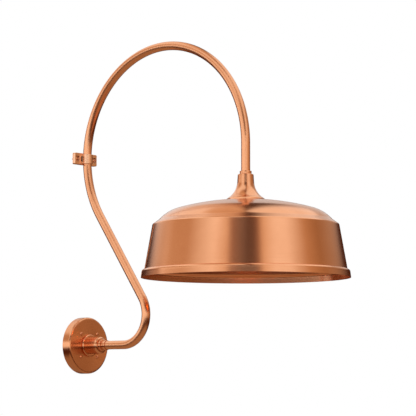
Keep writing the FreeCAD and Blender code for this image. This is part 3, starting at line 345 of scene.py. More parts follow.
def make_piece(name, vertices, faces, material, uvs=None, sharp=None):
    """A mesh object at the origin with smooth faces; uvs holds a list of corner places for each face."""
    mesh = bpy.data.meshes.new(name)
    mesh.from_pydata([tuple(v) for v in vertices], [], faces)
    if uvs:
        layer = mesh.uv_layers.new(name="UVMap")
        for loop, pair in zip(layer.data, (pair for face in uvs for pair in face)):
            loop.uv = pair
    mesh.materials.append(material)
    mesh.shade_smooth()
    if sharp:
        mesh.set_sharp_from_angle(angle=math.radians(sharp))
    piece = bpy.data.objects.new(name, mesh)
    bpy.context.scene.collection.objects.link(piece)
    return piece


UPRIGHT = Matrix.Identity(3)
OUT_OF_WALL = Matrix(((0, 0, 1), (0, 1, 0), (-1, 0, 0)))


def lathe(name, section, material, place, turn=UPRIGHT, segments=128, sharp=40, thread=None):
    """A turned piece from its closed section of (radius, height) in millimetres about its own axis.

    U runs round the axis and V along the section, in metres, for marks that follow the turning. thread is
    (pitch, depth, low, high) of a rolled thread, which fades out over its first and last turn. A fifth value
    is the radius at which a narrowed top end reaches full depth, so that it passes the shell's thread."""
    section = [Vector(spot) * MM for spot in section]
    section = [spot for before, spot in zip(section[-1:] + section, section) if (spot - before).length > 1e-7]
    if sum(before.cross(spot) for before, spot in zip(section[-1:] + section, section)) < 0:
        section.reverse()
    lengths = [0.0]
    for start, end in zip(section, section[1:] + section[:1]):
        lengths.append(lengths[-1] + (end - start).length)
    girth = 2 * math.pi * max(spot.x for spot in section)
    vertices, index = [], {}
    for row, spot in enumerate(section):
        for column in range(1 if spot.x < 1e-7 else segments):
            angle = 2 * math.pi * column / segments
            radius = spot.x
            if thread:
                pitch, depth, low, high = (size * MM for size in thread[:4])
                start, end = (max(0.0, min(1.0, run / pitch)) for run in (spot.y - low, high - spot.y))
                height = spot.y + place[2] * turn[2][2]
                wave = 0.5 - 0.5 * math.cos(2 * math.pi * height / pitch - angle)
                taper = max(0.0, min(1.0, spot.x / MM - thread[4] + 4) / 4) if len(thread) > 4 else 0.0
                radius -= depth * start * (wave * end + taper * (1 - end))
            local = Vector((radius * math.cos(angle), radius * math.sin(angle), spot.y))
            index[row, column] = len(vertices)
            vertices.append(Vector(place) + turn @ local)
    faces, uvs = [], []
    for row in range(len(section)):
        ahead = (row + 1) % len(section)
        for column in range(segments):
            corners, pairs = [], []
            for level, step, up in ((row, 0, 0), (row, 1, 0), (ahead, 1, 1), (ahead, 0, 1)):
                spot = index.get((level, (column + step) % segments), index[level, 0])
                if spot not in corners:
                    corners.append(spot)
                    pairs.append(((column + step) / segments * girth, lengths[row + up]))
            if len(corners) > 2:
                faces.append(corners)
                uvs.append(pairs)
    return make_piece(name, vertices, faces, material, uvs, sharp)


def mount(piece, slot, *nodes, body="fixture"):
    """A finished piece that rides on a body and stands for its CAD nodes. slot is not used."""
    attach(piece, body)
    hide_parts(*nodes)


def joined_copy(node, ending):
    """A copy of a CAD node and its open shape, with the triangles joined."""
    piece = bpy.data.objects.new(f"{node}_{ending}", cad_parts[node].data.copy())
    bpy.context.scene.collection.objects.link(piece)
    shape = bmesh.new()
    shape.from_mesh(piece.data)
    bmesh.ops.remove_doubles(shape, verts=shape.verts, dist=1e-6)
    return piece, shape


def finished_copy(node, material, slot, bevel=0.0, sharp=35, body="fixture"):
    """A copy of a CAD node with its triangles joined and smooth, and its edges eased by a bevel in metres."""
    piece, shape = joined_copy(node, "finished")
    if bevel:
        bmesh.ops.dissolve_limit(shape, angle_limit=math.radians(1), verts=shape.verts, edges=shape.edges)
        edges = [edge for edge in shape.edges if edge.is_manifold
                 and edge.calc_face_angle() > math.radians(sharp)]
        bmesh.ops.bevel(shape, geom=edges, offset=bevel, segments=3, profile=0.5, affect="EDGES",
                        clamp_overlap=True)
        bmesh.ops.triangulate(shape, faces=[face for face in shape.faces if len(face.verts) > 4])
    shape.to_mesh(piece.data)
    shape.free()
    piece.data.materials.clear()
    piece.data.materials.append(material)
    piece.data.shade_smooth()
    piece.data.set_sharp_from_angle(angle=math.radians(sharp))
    mount(piece, slot, node, body=body)


def cast_copy(node, material, slot, voxel, passes):
    """A copy of a CAD node as a casting: its edges soften as sand or wax leaves them."""
    piece, shape = joined_copy(node, "cast")
    shape.to_mesh(piece.data)
    shape.free()
    remesh = piece.modifiers.new("Even_skin", "REMESH")
    remesh.mode = "VOXEL"
    remesh.voxel_size = voxel
    soften = piece.modifiers.new("Soft_edges", "SMOOTH")
    soften.factor = 0.5
    soften.iterations = passes
    bpy.context.view_layer.update()
    made = bpy.data.meshes.new_from_object(piece.evaluated_get(bpy.context.evaluated_depsgraph_get()))
    piece.modifiers.clear()
    piece.data = made
    made.materials.clear()
    made.materials.append(material)
    made.shade_smooth()
    mount(piece, slot, node)


# ---- Geometry Nodes: the bent tube, the screws and the flutes of the connectors ----

def new_tree(name, **inputs):
    """A geometry tree with a geometry in and out and one named input for each size."""
    tree = bpy.data.node_groups.new(name, "GeometryNodeTree")
    tree.interface.new_socket("Geometry", in_out="INPUT", socket_type="NodeSocketGeometry")
    for label, kind in inputs.items():
        tree.interface.new_socket(label.replace("_", " "), in_out="INPUT", socket_type=f"NodeSocket{kind}")
    tree.interface.new_socket("Geometry", in_out="OUTPUT", socket_type="NodeSocketGeometry")
    given = tree.nodes.new("NodeGroupInput")
    return tree, {socket.name: socket for socket in given.outputs}, tree.nodes.new("NodeGroupOutput")


def end_tree(tree, geometry, material, out):
    """Ends a tree in Realize Instances and Set Material."""
    real = add(tree, "GeometryNodeRealizeInstances", [("Geometry", geometry)])
    smooth = add(tree, "GeometryNodeSetShadeSmooth", [("Geometry", real.outputs["Geometry"])])
    painted = add(tree, "GeometryNodeSetMaterial",
                  [("Geometry", smooth.outputs["Geometry"]), ("Material", material)])
    tree.links.new(painted.outputs["Geometry"], out.inputs["Geometry"])
    return tree


def end_on_spots(tree, given, model, out):
    """Ends a tree with its model on each spot of the skeleton, standing towards the spot's aim."""
    dots = add(tree, "GeometryNodeMeshToPoints", [("Mesh", given["Geometry"])])
    aim = add(tree, "GeometryNodeInputNamedAttribute", data_type="FLOAT_VECTOR", Name="aim")
    face = add(tree, "FunctionNodeAlignRotationToVector", [("Vector", aim.outputs["Attribute"])], axis="Z")
    each = add(tree, "GeometryNodeInstanceOnPoints", [("Points", dots.outputs["Points"]), ("Instance", model),
                                                      ("Rotation", face.outputs["Rotation"])])
    return end_tree(tree, each.outputs["Instances"], given["Material"], out)


def run_tree(name, tree, spots, edges=(), aims=None, sharp=40, **sizes):
    """Runs a tree on a skeleton of spots and edges, each spot with its aim, and keeps one plain mesh."""
    skeleton = bpy.data.meshes.new(f"{name}_skeleton")
    skeleton.from_pydata([tuple(spot) for spot in spots], list(edges), [])
    if aims:
        aim = skeleton.attributes.new("aim", "FLOAT_VECTOR", "POINT")
        for item, direction in zip(aim.data, aims):
            item.vector = direction
    piece = bpy.data.objects.new(name, skeleton)
    bpy.context.scene.collection.objects.link(piece)
    modifier = piece.modifiers.new("Make", "NODES")
    modifier.node_group = tree
    sockets = {item.name: item.identifier for item in tree.interface.items_tree if item.in_out == "INPUT"}
    for label, value in sizes.items():
        modifier[sockets[label.replace("_", " ")]] = value
    bpy.context.view_layer.update()
    made = bpy.data.meshes.new_from_object(piece.evaluated_get(bpy.context.evaluated_depsgraph_get()))
    piece.modifiers.clear()
    piece.data = made
    made.name = name
    made.set_sharp_from_angle(angle=math.radians(sharp))
    return piece


def join(tree, *parts):
    """One geometry from several."""
    whole = add(tree, "GeometryNodeJoinGeometry")
    for part in parts:
        tree.links.new(part, whole.inputs["Geometry"])
    return whole.outputs["Geometry"]


def bent_tube_tree():
    """A round tube along the skeleton's edges, with its bore and both end faces.

    It stores tube_place, each point's place on a straight tube, and tube_run, its direction along the tube."""
    tree, given, out = new_tree("bent_tube", Radius="Float", Bore="Float", Segments="Int", Material="Material")
    line = add(tree, "GeometryNodeMeshToCurve", [("Mesh", given["Geometry"])])
    run = add(tree, "GeometryNodeInputTangent")
    length = add(tree, "GeometryNodeSplineParameter")
    marked = add(tree, "GeometryNodeStoreNamedAttribute",
                 [("Geometry", line.outputs["Curve"]), ("Value", run.outputs["Tangent"])],
                 data_type="FLOAT_VECTOR", domain="POINT", Name="tube_run")
    measured = add(tree, "GeometryNodeStoreNamedAttribute",
                   [("Geometry", marked.outputs["Geometry"]), ("Value", length.outputs["Length"])],
                   data_type="FLOAT", domain="POINT", Name="tube_length")
    skins, rings = [], []
    for size in ("Radius", "Bore"):
        ring = add(tree, "GeometryNodeCurvePrimitiveCircle", [("Resolution", given["Segments"]),
                                                              ("Radius", given[size])])
        spot = add(tree, "GeometryNodeInputPosition")
        known = add(tree, "GeometryNodeStoreNamedAttribute",
                    [("Geometry", ring.outputs["Curve"]), ("Value", spot.outputs["Position"])],
                    data_type="FLOAT_VECTOR", domain="POINT", Name="tube_place")
        skin = add(tree, "GeometryNodeCurveToMesh", [("Curve", measured.outputs["Geometry"]),
                                                     ("Profile Curve", known.outputs["Geometry"])])
        skins.append(skin.outputs["Mesh"])
        rings.append(ring.outputs["Curve"])
    turned_in = add(tree, "GeometryNodeFlipFaces", [("Mesh", skins[1])])
    face = add(tree, "GeometryNodeFillCurve", [("Curve", join(tree, *rings))])
    ends = []
    for factor in (0.0, 1.0):
        spot = add(tree, "GeometryNodeSampleCurve", [("Curves", measured.outputs["Geometry"])], mode="FACTOR",
                   Factor=factor)
        turn = add(tree, "FunctionNodeAxesToRotation", [("Primary Axis", spot.outputs["Tangent"]),
                                                        ("Secondary Axis", spot.outputs["Normal"])])
        end = add(tree, "GeometryNodeTransform", [("Geometry", face.outputs["Mesh"]),
                                                  ("Translation", spot.outputs["Position"]),
                                                  ("Rotation", turn.outputs["Rotation"])])
        ends.append(end.outputs["Geometry"])
    start = add(tree, "GeometryNodeFlipFaces", [("Mesh", ends[0])])
    whole = join(tree, skins[0], turned_in.outputs["Mesh"], start.outputs["Mesh"], ends[1])
    closed = add(tree, "GeometryNodeMergeByDistance", [("Geometry", whole)], Distance=0.00001)
    across = add(tree, "GeometryNodeInputNamedAttribute", data_type="FLOAT_VECTOR", Name="tube_place")
    along = add(tree, "GeometryNodeInputNamedAttribute", data_type="FLOAT", Name="tube_length")
    flat = add(tree, "ShaderNodeSeparateXYZ", [("Vector", across.outputs["Attribute"])])
    straight = add(tree, "ShaderNodeCombineXYZ", [("X", flat.outputs["X"]), ("Y", flat.outputs["Y"]),
                                                  ("Z", along.outputs["Attribute"])])
    placed = add(tree, "GeometryNodeStoreNamedAttribute",
                 [("Geometry", closed.outputs["Geometry"]), ("Value", straight.outputs["Vector"])],
                 data_type="FLOAT_VECTOR", domain="POINT", Name="tube_place")
    return end_tree(tree, placed.outputs["Geometry"], given["Material"], out)


def screw_tree():
    """Slotted round-head screws, one on each spot with its head towards the spot's aim.

    Ball radius is that of the head's dome, Shank length the plain part and Thread length the threaded one."""
    tree, given, out = new_tree("round_head_screw", Head_rise="Float", Ball_radius="Float", Slot_width="Float",
                                Slot_depth="Float", Slot_turn="Float", Shank_radius="Float",
                                Shank_length="Float", Thread_radius="Float", Thread_length="Float",
                                Pitch="Float", Material="Material")

    def sum_of(first, second, operation="ADD"):
        node = add(tree, "ShaderNodeMath", operation=operation)
        for socket, value in zip(node.inputs, (first, second)):
            if isinstance(value, (int, float)):
                socket.default_value = value
            else:
                tree.links.new(value, socket)
        return node.outputs["Value"]

    def lifted(mesh, height):
        lift = add(tree, "ShaderNodeCombineXYZ", [("Z", height)])
        moved = add(tree, "GeometryNodeTransform",
                    [("Geometry", mesh), ("Translation", lift.outputs["Vector"])])
        return moved.outputs["Geometry"]

    ball = add(tree, "GeometryNodeMeshUVSphere", [("Radius", given["Ball radius"])], Segments=40, Rings=28)
    dome = lifted(ball.outputs["Mesh"], sum_of(given["Head rise"], given["Ball radius"], "SUBTRACT"))
    block_size = sum_of(given["Ball radius"], 4, "MULTIPLY")
    block = add(tree, "ShaderNodeCombineXYZ", [("X", block_size), ("Y", block_size), ("Z", block_size)])
    below = add(tree, "GeometryNodeMeshCube", [("Size", block.outputs["Vector"])])
    under = lifted(below.outputs["Mesh"], sum_of(block_size, -0.5, "MULTIPLY"))
    groove = add(tree, "ShaderNodeCombineXYZ",
                 [("X", block_size), ("Y", given["Slot width"]), ("Z", block_size)])
    blade = add(tree, "GeometryNodeMeshCube", [("Size", groove.outputs["Vector"])])
    slot_floor = sum_of(given["Head rise"], given["Slot depth"], "SUBTRACT")
    slot = lifted(blade.outputs["Mesh"], sum_of(slot_floor, sum_of(block_size, 0.5, "MULTIPLY")))
    head = add(tree, "GeometryNodeMeshBoolean", [("Mesh 1", dome), ("Mesh 2", join(tree, under, slot))],
               operation="DIFFERENCE", solver="EXACT")
    shank = add(tree, "GeometryNodeMeshCylinder",
                [("Radius", given["Shank radius"]), ("Depth", given["Shank length"])], Vertices=32)
    shank = lifted(shank.outputs["Mesh"], sum_of(given["Shank length"], -0.5, "MULTIPLY"))
    core_radius = sum_of(given["Thread radius"], 0.84, "MULTIPLY")
    core = add(tree, "GeometryNodeMeshCylinder", [("Radius", core_radius), ("Depth", given["Thread length"])],
               Vertices=24)
    thread_foot = sum_of(sum_of(given["Shank length"], given["Thread length"]), -1, "MULTIPLY")
    core = lifted(core.outputs["Mesh"], sum_of(thread_foot, sum_of(given["Thread length"], 0.5, "MULTIPLY")))
    helix = add(tree, "GeometryNodeCurveSpiral",
                [("Rotations", sum_of(given["Thread length"], given["Pitch"], "DIVIDE")),
                 ("Start Radius", core_radius), ("End Radius", core_radius),
                 ("Height", given["Thread length"])], Resolution=20)
    ridge = add(tree, "GeometryNodeCurvePrimitiveCircle",
                [("Radius", sum_of(given["Thread radius"], core_radius, "SUBTRACT"))], Resolution=3)
    thread = add(tree, "GeometryNodeCurveToMesh", [("Curve", helix.outputs["Curve"]),
                                                   ("Profile Curve", ridge.outputs["Curve"])], Fill_Caps=True)
    thread = lifted(thread.outputs["Mesh"], thread_foot)
    whole = join(tree, head.outputs["Mesh"], shank, core, thread)
    spin = add(tree, "ShaderNodeCombineXYZ", [("Z", given["Slot turn"])])
    spun = add(tree, "GeometryNodeTransform", [("Geometry", whole), ("Rotation", spin.outputs["Vector"])])
    return end_on_spots(tree, given, spun.outputs[0], out)


def connector_tree():
    """Twist-on wire connectors: a hollow tapered cap with flutes for the fingers, one on each spot."""
    tree, given, out = new_tree("wire_connector", Mouth_radius="Float", Tip_radius="Float", Length="Float",
                                Rib_radius="Float", Ribs="Int", Material="Material")
    body = add(tree, "GeometryNodeMeshCone", [("Radius Bottom", given["Mouth radius"]),
                                              ("Radius Top", given["Tip radius"]), ("Depth", given["Length"])],
               Vertices=48, Side_Segments=12, Fill_Segments=3)
    start = add(tree, "ShaderNodeCombineXYZ", [("X", given["Mouth radius"])])
    end = add(tree, "ShaderNodeCombineXYZ", [("X", given["Tip radius"]), ("Z", given["Length"])])
    line = add(tree, "GeometryNodeCurvePrimitiveLine", [("Start", start.outputs["Vector"]),
                                                        ("End", end.outputs["Vector"])])
    ring = add(tree, "GeometryNodeCurvePrimitiveCircle", [("Radius", given["Rib radius"])], Resolution=10)
    rib = add(tree, "GeometryNodeCurveToMesh", [("Curve", line.outputs["Curve"]),
                                                ("Profile Curve", ring.outputs["Curve"])], Fill_Caps=True)
    many = add(tree, "GeometryNodeMeshLine", [("Count", given["Ribs"])], Offset=(0, 0, 0))
    number = add(tree, "GeometryNodeInputIndex")
    share = add(tree, "ShaderNodeMath", [(0, number.outputs["Index"]), (1, given["Ribs"])], operation="DIVIDE")
    angle = add(tree, "ShaderNodeMath", [(0, share.outputs["Value"])], operation="MULTIPLY")
    angle.inputs[1].default_value = 2 * math.pi
    turn = add(tree, "ShaderNodeCombineXYZ", [("Z", angle.outputs["Value"])])
    ribs = add(tree, "GeometryNodeInstanceOnPoints", [("Points", many.outputs["Mesh"]),
                                                      ("Instance", rib.outputs["Mesh"]),
                                                      ("Rotation", turn.outputs["Vector"])])
    whole = join(tree, body.outputs["Mesh"], ribs.outputs["Instances"])
    return end_on_spots(tree, given, whole, out)


# ---- shade and neck ----

DOME_FOOT, CROWN, CROWN_RADIUS, KNUCKLE = Vector((203.4, 284.7)), 333.1, 606, 86
crown_centre = Vector((0, CROWN - CROWN_RADIUS))
link = DOME_FOOT - crown_centre
reach = CROWN_RADIUS - KNUCKLE
along = (reach ** 2 - KNUCKLE ** 2 + link.length ** 2) / (2 * link.length)
unit = link.normalized()
knuckle_centre = crown_centre + unit * along + Vector((-unit.y, unit.x)) * math.sqrt(reach ** 2 - along ** 2)
meet = crown_centre + (knuckle_centre - crown_centre).normalized() * CROWN_RADIUS
summit = Vector((6.9, crown_centre.y + math.sqrt(CROWN_RADIUS ** 2 - 6.9 ** 2)))
skin = [Vector((245.2, 150))] + arc((243.6, 162.5), (237.1, 169), 6.5)
skin += rounded([(237.1, 169), (218.5, 274), DOME_FOOT], [5]) + arc(DOME_FOOT, meet, KNUCKLE, 24)
skin += arc(meet, summit, CROWN_RADIUS, 24)
shade = lathe("shade_spun", sheet_section(finer(skin, 4), 1.2), SPUN_COPPER, (SHADE_X, 0, 0), segments=256)
mount(shade, "spun_copper", "shade")

NECK_HEIGHT = 61.5
skin = [Vector((44.3, 0)), Vector((44.3, 3))] + arc((42.3, 5), (19.9, 40.5), -47, 24)
skin += rounded([(19.9, 40.5), (18.4, NECK_HEIGHT), (10.7, NECK_HEIGHT)], [2])[1:]
neck = lathe("neck_spun", sheet_section(finer(skin, 2), 1.5), SPUN_COPPER, (SHADE_X, 0, NECK_FOOT),
             segments=160)
mount(neck, "spun_copper", "neck")

# ---- wall plate and hub ----

skin = rounded([(70, 0), (70, 24), (13.8, 24)], [5.5], steps=12)
plate = lathe("wall_plate_spun", sheet_section(finer(skin, 2), 1.6), PLATE_COPPER, (0, 0, 0), OUT_OF_WALL,
              segments=192)
mount(plate, "spun_copper", "wall_plate")

bead = eased([(21.05, 0), (27.5, 0), (27.5, 6), (21.05, 6)], 0.3, {1: 2.9, 2: 2.9}, steps=10)
mount(lathe("hub_bead", bead, TURNED_COPPER, (PLATE_FACE, 0, 0), OUT_OF_WALL), "turned_copper", "hub_ring")

barrel = eased([(7.9, -12.8), (13.5, -12.8), (13.5, 0), (21, 0), (21, 43), (14.5, 43), (14.5, 49), (10.7, 49),
                (10.7, 6), (7.9, 6)], 0.3, {4: 6, 6: 1.5}, steps=10)
mount(lathe("hub_barrel_turned", barrel, TURNED_COPPER, (PLATE_FACE, 0, 0), OUT_OF_WALL), "turned_copper",
      "hub_barrel")

collar = eased([(10.7, 0), (12.2, 0), (12.2, 13), (10.7, 13)], 0.5)
mount(lathe("pipe_collar_turned", collar, TURNED_COPPER, (COLLAR_PLACE, 0, 0), OUT_OF_WALL), "turned_copper",
      "pipe_collar")
collar = eased([(10.7, 0), (13.9, 0), (13.9, 7.4), (10.7, 7.4)], 0.7)
mount(lathe("neck_collar_turned", collar, TURNED_COPPER, (SHADE_X, 0, NECK_FOOT + NECK_HEIGHT * MM)),
      "turned_copper", "neck_collar")

# ---- arm ----

foot = STUB_LENGTH + LOWER_BEND * math.tan((math.pi / 2 + LEAN) / 2)
knee = (foot - PIPE_FROM_WALL) / math.tan(LEAN)
top = knee + BIG_BEND * math.tan(LEAN / 2) + BIG_BEND
corners = [(PIPE_START, 0), (foot, 0), (PIPE_FROM_WALL, knee), (PIPE_FROM_WALL, top), (SHADE_X, top),
           (SHADE_X, PIPE_END)]
route = finer(rounded(corners, [LOWER_BEND, BIG_BEND, BIG_BEND, BIG_BEND], steps=48), 12 * MM)
arm = run_tree("arm_tube", bent_tube_tree(), [(spot.x, 0, spot.y) for spot in route],
               edges=[(i, i + 1) for i in range(len(route) - 1)], Radius=PIPE_RADIUS, Bore=PIPE_BORE,
               Segments=96, Material=DRAWN_COPPER)
mount(arm, "copper_pipe", "arm_pipe")

# ---- pipe strap ----

cast_copy("pipe_strap", CAST_COPPER_PAINTED_LIGHT, "turned_copper", voxel=0.4 * MM, passes=5)
finished_copy("strap_back", CAST_COPPER_PAINTED_LIGHT, "turned_copper", bevel=0.5 * MM)

# ---- screws ----

screws = screw_tree()


def screw_set(node, slot, material, spots, aims, head, rise, shank, plain, thread, threaded, pitch, turn):
    """A set of slotted round-head screws; sizes in millimetres, shank and thread by their diameters."""
    ball = ((head / 2) ** 2 + rise ** 2) / (2 * rise)
    piece = run_tree(f"{node}_threaded", screws, spots, aims=aims, Head_rise=rise * MM, Ball_radius=ball * MM,
                     Slot_width=head * 0.14 * MM, Slot_depth=rise * 0.4 * MM, Slot_turn=turn,
                     Shank_radius=shank / 2 * MM, Shank_length=plain * MM, Thread_radius=thread / 2 * MM,
                     Thread_length=threaded * MM, Pitch=pitch * MM, Material=material)
    mount(piece, slot, node)


SCREW_RING = 40.5 * MM
diagonals = [math.radians(45 + 90 * index) for index in range(4)]
plate_spots = [(PLATE_FACE, SCREW_RING * math.cos(angle), SCREW_RING * math.sin(angle)) for angle in diagonals]
OUT, BACK, UP = (1, 0, 0), (-1, 0, 0), (0, 0, 1)
NEAR, FAR = (0, -1, 0), (0, 1, 0)
screw_set("plate_screws", "turned_copper", PLATED_SCREW, plate_spots, [OUT] * 4, head=8.6, rise=3.4, shank=4.2,
          plain=24, thread=4.2, threaded=32, pitch=1.6, turn=0.6)
screw_set("strap_screws", "turned_copper", PLATED_SCREW,
          [(STRAP_SEAT, side * STRAP_HOLE_Y, STRAP_Z) for side in (-1, 1)], [OUT] * 2, head=8.6, rise=2.8,
          shank=4.2, plain=5.85, thread=4.2, threaded=9, pitch=1.6, turn=0.3)
screw_set("holder_screws", "brass", ROLLED_BRASS,
          [(SHADE_X, side * CUP_SCREW_Y, CUP_SCREW_Z) for side in (-1, 1)], [NEAR, FAR], head=6, rise=1.8,
          shank=2.8, plain=1.3, thread=2.8, threaded=4, pitch=0.6, turn=0.8)
screw_set("terminal_screws", "brass", ROLLED_BRASS,
          [(SHADE_X, side * TERMINAL_Y, HOLDER_TOP) for side in (-1, 1)], [UP] * 2, head=6, rise=2.2, shank=2.6,
          plain=0.5, thread=2.6, threaded=5.5, pitch=0.6, turn=0.2)
screw_set("ground_screw", "green_screw", GREEN_STEEL, [(LUG_X, 0, GROUND_SCREW_Z)], [BACK], head=7.6, rise=2.4,
          shank=3.4, plain=0.3, thread=3.4, threaded=2.1, pitch=0.7, turn=0.5)
finished_copy("collar_grub_screw", PLATED_SCREW, "turned_copper", bevel=0.15 * MM)
finished_copy("neck_grub_screw", PLATED_SCREW, "turned_copper", bevel=0.15 * MM)

# ---- nuts, washers and fittings ----

for node in ("hub_washer", "ground_lug", "hub_locknut", "shade_washer", "shade_locknut", "cup_nut"):
    finished_copy(node, ZINC_STEEL, "zinc_steel", bevel=0.25 * MM)
for node in ("pipe_bush", "nipple"):
    finished_copy(node, ZINC_STEEL, "zinc_steel", bevel=0.3 * MM)
finished_copy("wall_gasket", FOAM, "foam", bevel=0.5 * MM)

# ---- lamp holder ----

skin = rounded([(24, 0), (24, 26), (6.65, 26)], [6], steps=12)
cup = lathe("socket_cup_spun", sheet_section(finer(skin, 2), 1), SPUN_COPPER, (SHADE_X, 0, CUP_MOUTH))
mount(cup, "spun_copper", "socket_cup")
holder = eased([(14.15, 0), (22.7, 0), (22.7, 49), (1.5, 49), (1.5, 37), (14.15, 37)], 1.0,
               {1: 2, 3: 0.4, 4: 0.4})
mount(lathe("lamp_holder_glazed", holder, PORCELAIN, (SHADE_X, 0, HOLDER_MOUTH)), "porcelain", "lamp_holder")
EDISON_PITCH, EDISON_DEPTH = 3.629, 1.0
SHELL_HEIGHT = 25.5
shell = [(13.85, 0), (13.85, SHELL_HEIGHT), (13.35, SHELL_HEIGHT), (13.35, 0)]
shell = finer([Vector(spot) for spot in shell], 0.45)
mount(lathe("screw_shell_rolled", shell, ROLLED_BRASS, (SHADE_X, 0, SHELL_FOOT), segments=96,
            thread=(EDISON_PITCH, EDISON_DEPTH, 0.5, 25)), "brass", "screw_shell")
finished_copy("contact_tongue", ROLLED_BRASS, "brass", bevel=0.15 * MM)

# ---- lamp ----

CAP_HEIGHT = 25.5
skin = rounded([(13.05, 0), (13.05, CAP_HEIGHT), (4.8, CAP_HEIGHT)], [2])
cap = lathe("lamp_cap_rolled", sheet_section(finer(skin, 0.45), 0.5), NICKEL_CAP, (SHADE_X, 0, CAP_FOOT),
            segments=96, thread=(EDISON_PITCH, EDISON_DEPTH, 2, 23.5, 12))
mount(cap, "cap_metal", "bulb_cap", body="bulb")
vitrite = eased([(0.001, 0), (10.45, 0), (5.3, 4.2), (0.001, 4.2)], 0.0005, {1: 0.4, 2: 0.5})
mount(lathe("lamp_insulator", vitrite, BLACK_GLASS, (SHADE_X, 0, CAP_FOOT + CAP_HEIGHT * MM)), "black_glass",
      "bulb_insulator", body="bulb")
pip = [Vector((0, 0)), Vector((4.8, 0))] + arc((4.8, 0.3), (0, 1.4), 12, 10)
mount(lathe("lamp_contact_pip", pip, ROLLED_BRASS, (SHADE_X, 0, CONTACT_FOOT)), "brass", "bulb_contact",
      body="bulb_tip")

shoulder, waist, glass_neck = Vector((14.25, 72)), Vector((12.25, 77)), Vector((12.25, 86))
GLOBE = 30
to_shoulder = shoulder - Vector((0, GLOBE))
touch = math.atan2(to_shoulder.y, to_shoulder.x) - math.acos(GLOBE / to_shoulder.length)
globe = [Vector((GLOBE * math.sin(angle), GLOBE - GLOBE * math.cos(angle)))
         for angle in (i / 48 * (math.pi / 2 + touch) for i in range(49))]
skin = globe + rounded([globe[-1], shoulder, waist, glass_neck], [5, 2])[1:]
glass = lathe("lamp_globe_blown", sheet_section(finer(skin, 3), 0.8), LAMP_GLASS, (SHADE_X, 0, GLASS_TIP))
mount(glass, "clear_glass", "bulb_glass", body="bulb")
for node, material, slot in (("bulb_stem", STEM_GLASS, "clear_glass"), ("bulb_filaments", PHOSPHOR, "filament"),
                             ("filament_wires", ZINC_STEEL, "zinc_steel")):
    finished_copy(node, material, slot, body="bulb")

# ---- wiring ----

for node, material, slot in (("lead_black", BLACK_PVC, "black_lead"), ("lead_white", WHITE_PVC, "white_lead"),
                             ("lead_ground", GREEN_PVC, "green_lead")):
    finished_copy(node, material, slot)
connector_spots = [(CONNECTOR_X, -26 * MM, 0), (CONNECTOR_X, 26 * MM, 0), (CONNECTOR_X, -14 * MM, 42 * MM)]
connectors = run_tree("wire_connectors_fluted", connector_tree(), connector_spots,
                      aims=[NEAR, FAR, NEAR], Mouth_radius=5 * MM, Tip_radius=2.8 * MM, Length=21 * MM,
                      Rib_radius=0.5 * MM, Ribs=12, Material=ORANGE_NYLON)
mount(connectors, "connector", "wire_connectors")


# ---- studio ----

# The studio is rings of plain cards, one above the other, in seven plain tones. Each card stands at a bearing
# in degrees from the camera, to its right when positive. A dark card by the camera stands between two wide soft
# boxes, warm walls are at the sides and a pale one is behind; a second dark card hangs behind the dome.
CAMERA_BEARING = math.radians(49.53)
WHITE, PALE, PEACH, WARM = "#FFFFFF", "#D8D8D8", "#E0C8B0", "#C0A080"
TAN, BROWN, DARK = "#A08060", "#805840", "#402010"
LOW_CARDS = [(-180, DARK), (-145, DARK), (-115, BROWN), (-105, WHITE), (10, WHITE), (40, PEACH), (70, WARM),
             (100, TAN), (150, DARK), (180, DARK)]
MIDDLE_CARDS = [(-180, PALE), (-145, WHITE), (-100, WARM), (-75, WARM), (-40, WHITE), (-24, PEACH),
                (-18, BROWN), (-4, DARK), (9, DARK), (14, BROWN), (19, PEACH), (34, WHITE), (50, WHITE),
                (76, WARM), (96, TAN), (180, PALE)]
UPPER_CARDS = [(-180, BROWN), (-170, PEACH), (-145, WHITE), (-3, WHITE), (0, BROWN), (7, BROWN), (12, PEACH),
               (60, WHITE), (155, WHITE), (172, DARK), (180, DARK)]
HIGH_CARDS = [(-180, BROWN), (-170, PEACH), (-120, PEACH), (-60, WARM), (0, BROWN), (40, WHITE), (155, WHITE),
              (170, DARK), (180, DARK)]
DEEP_CARDS = [(-180, DARK), (180, DARK)]
FLOOR_CARDS = [(-180, WARM), (180, WARM)]
# Each later ring fades into the ones before it between two heights, in degrees, and has its own brightness.
LOW_BRIGHTNESS = 1.3
RINGS = [(9, 14, 1.12, MIDDLE_CARDS), (31, 37, 1.1, UPPER_CARDS), (56, 66, 1.1, HIGH_CARDS),
         (-1, -11, 1.6, DEEP_CARDS), (-22, -38, 0.8, FLOOR_CARDS)]


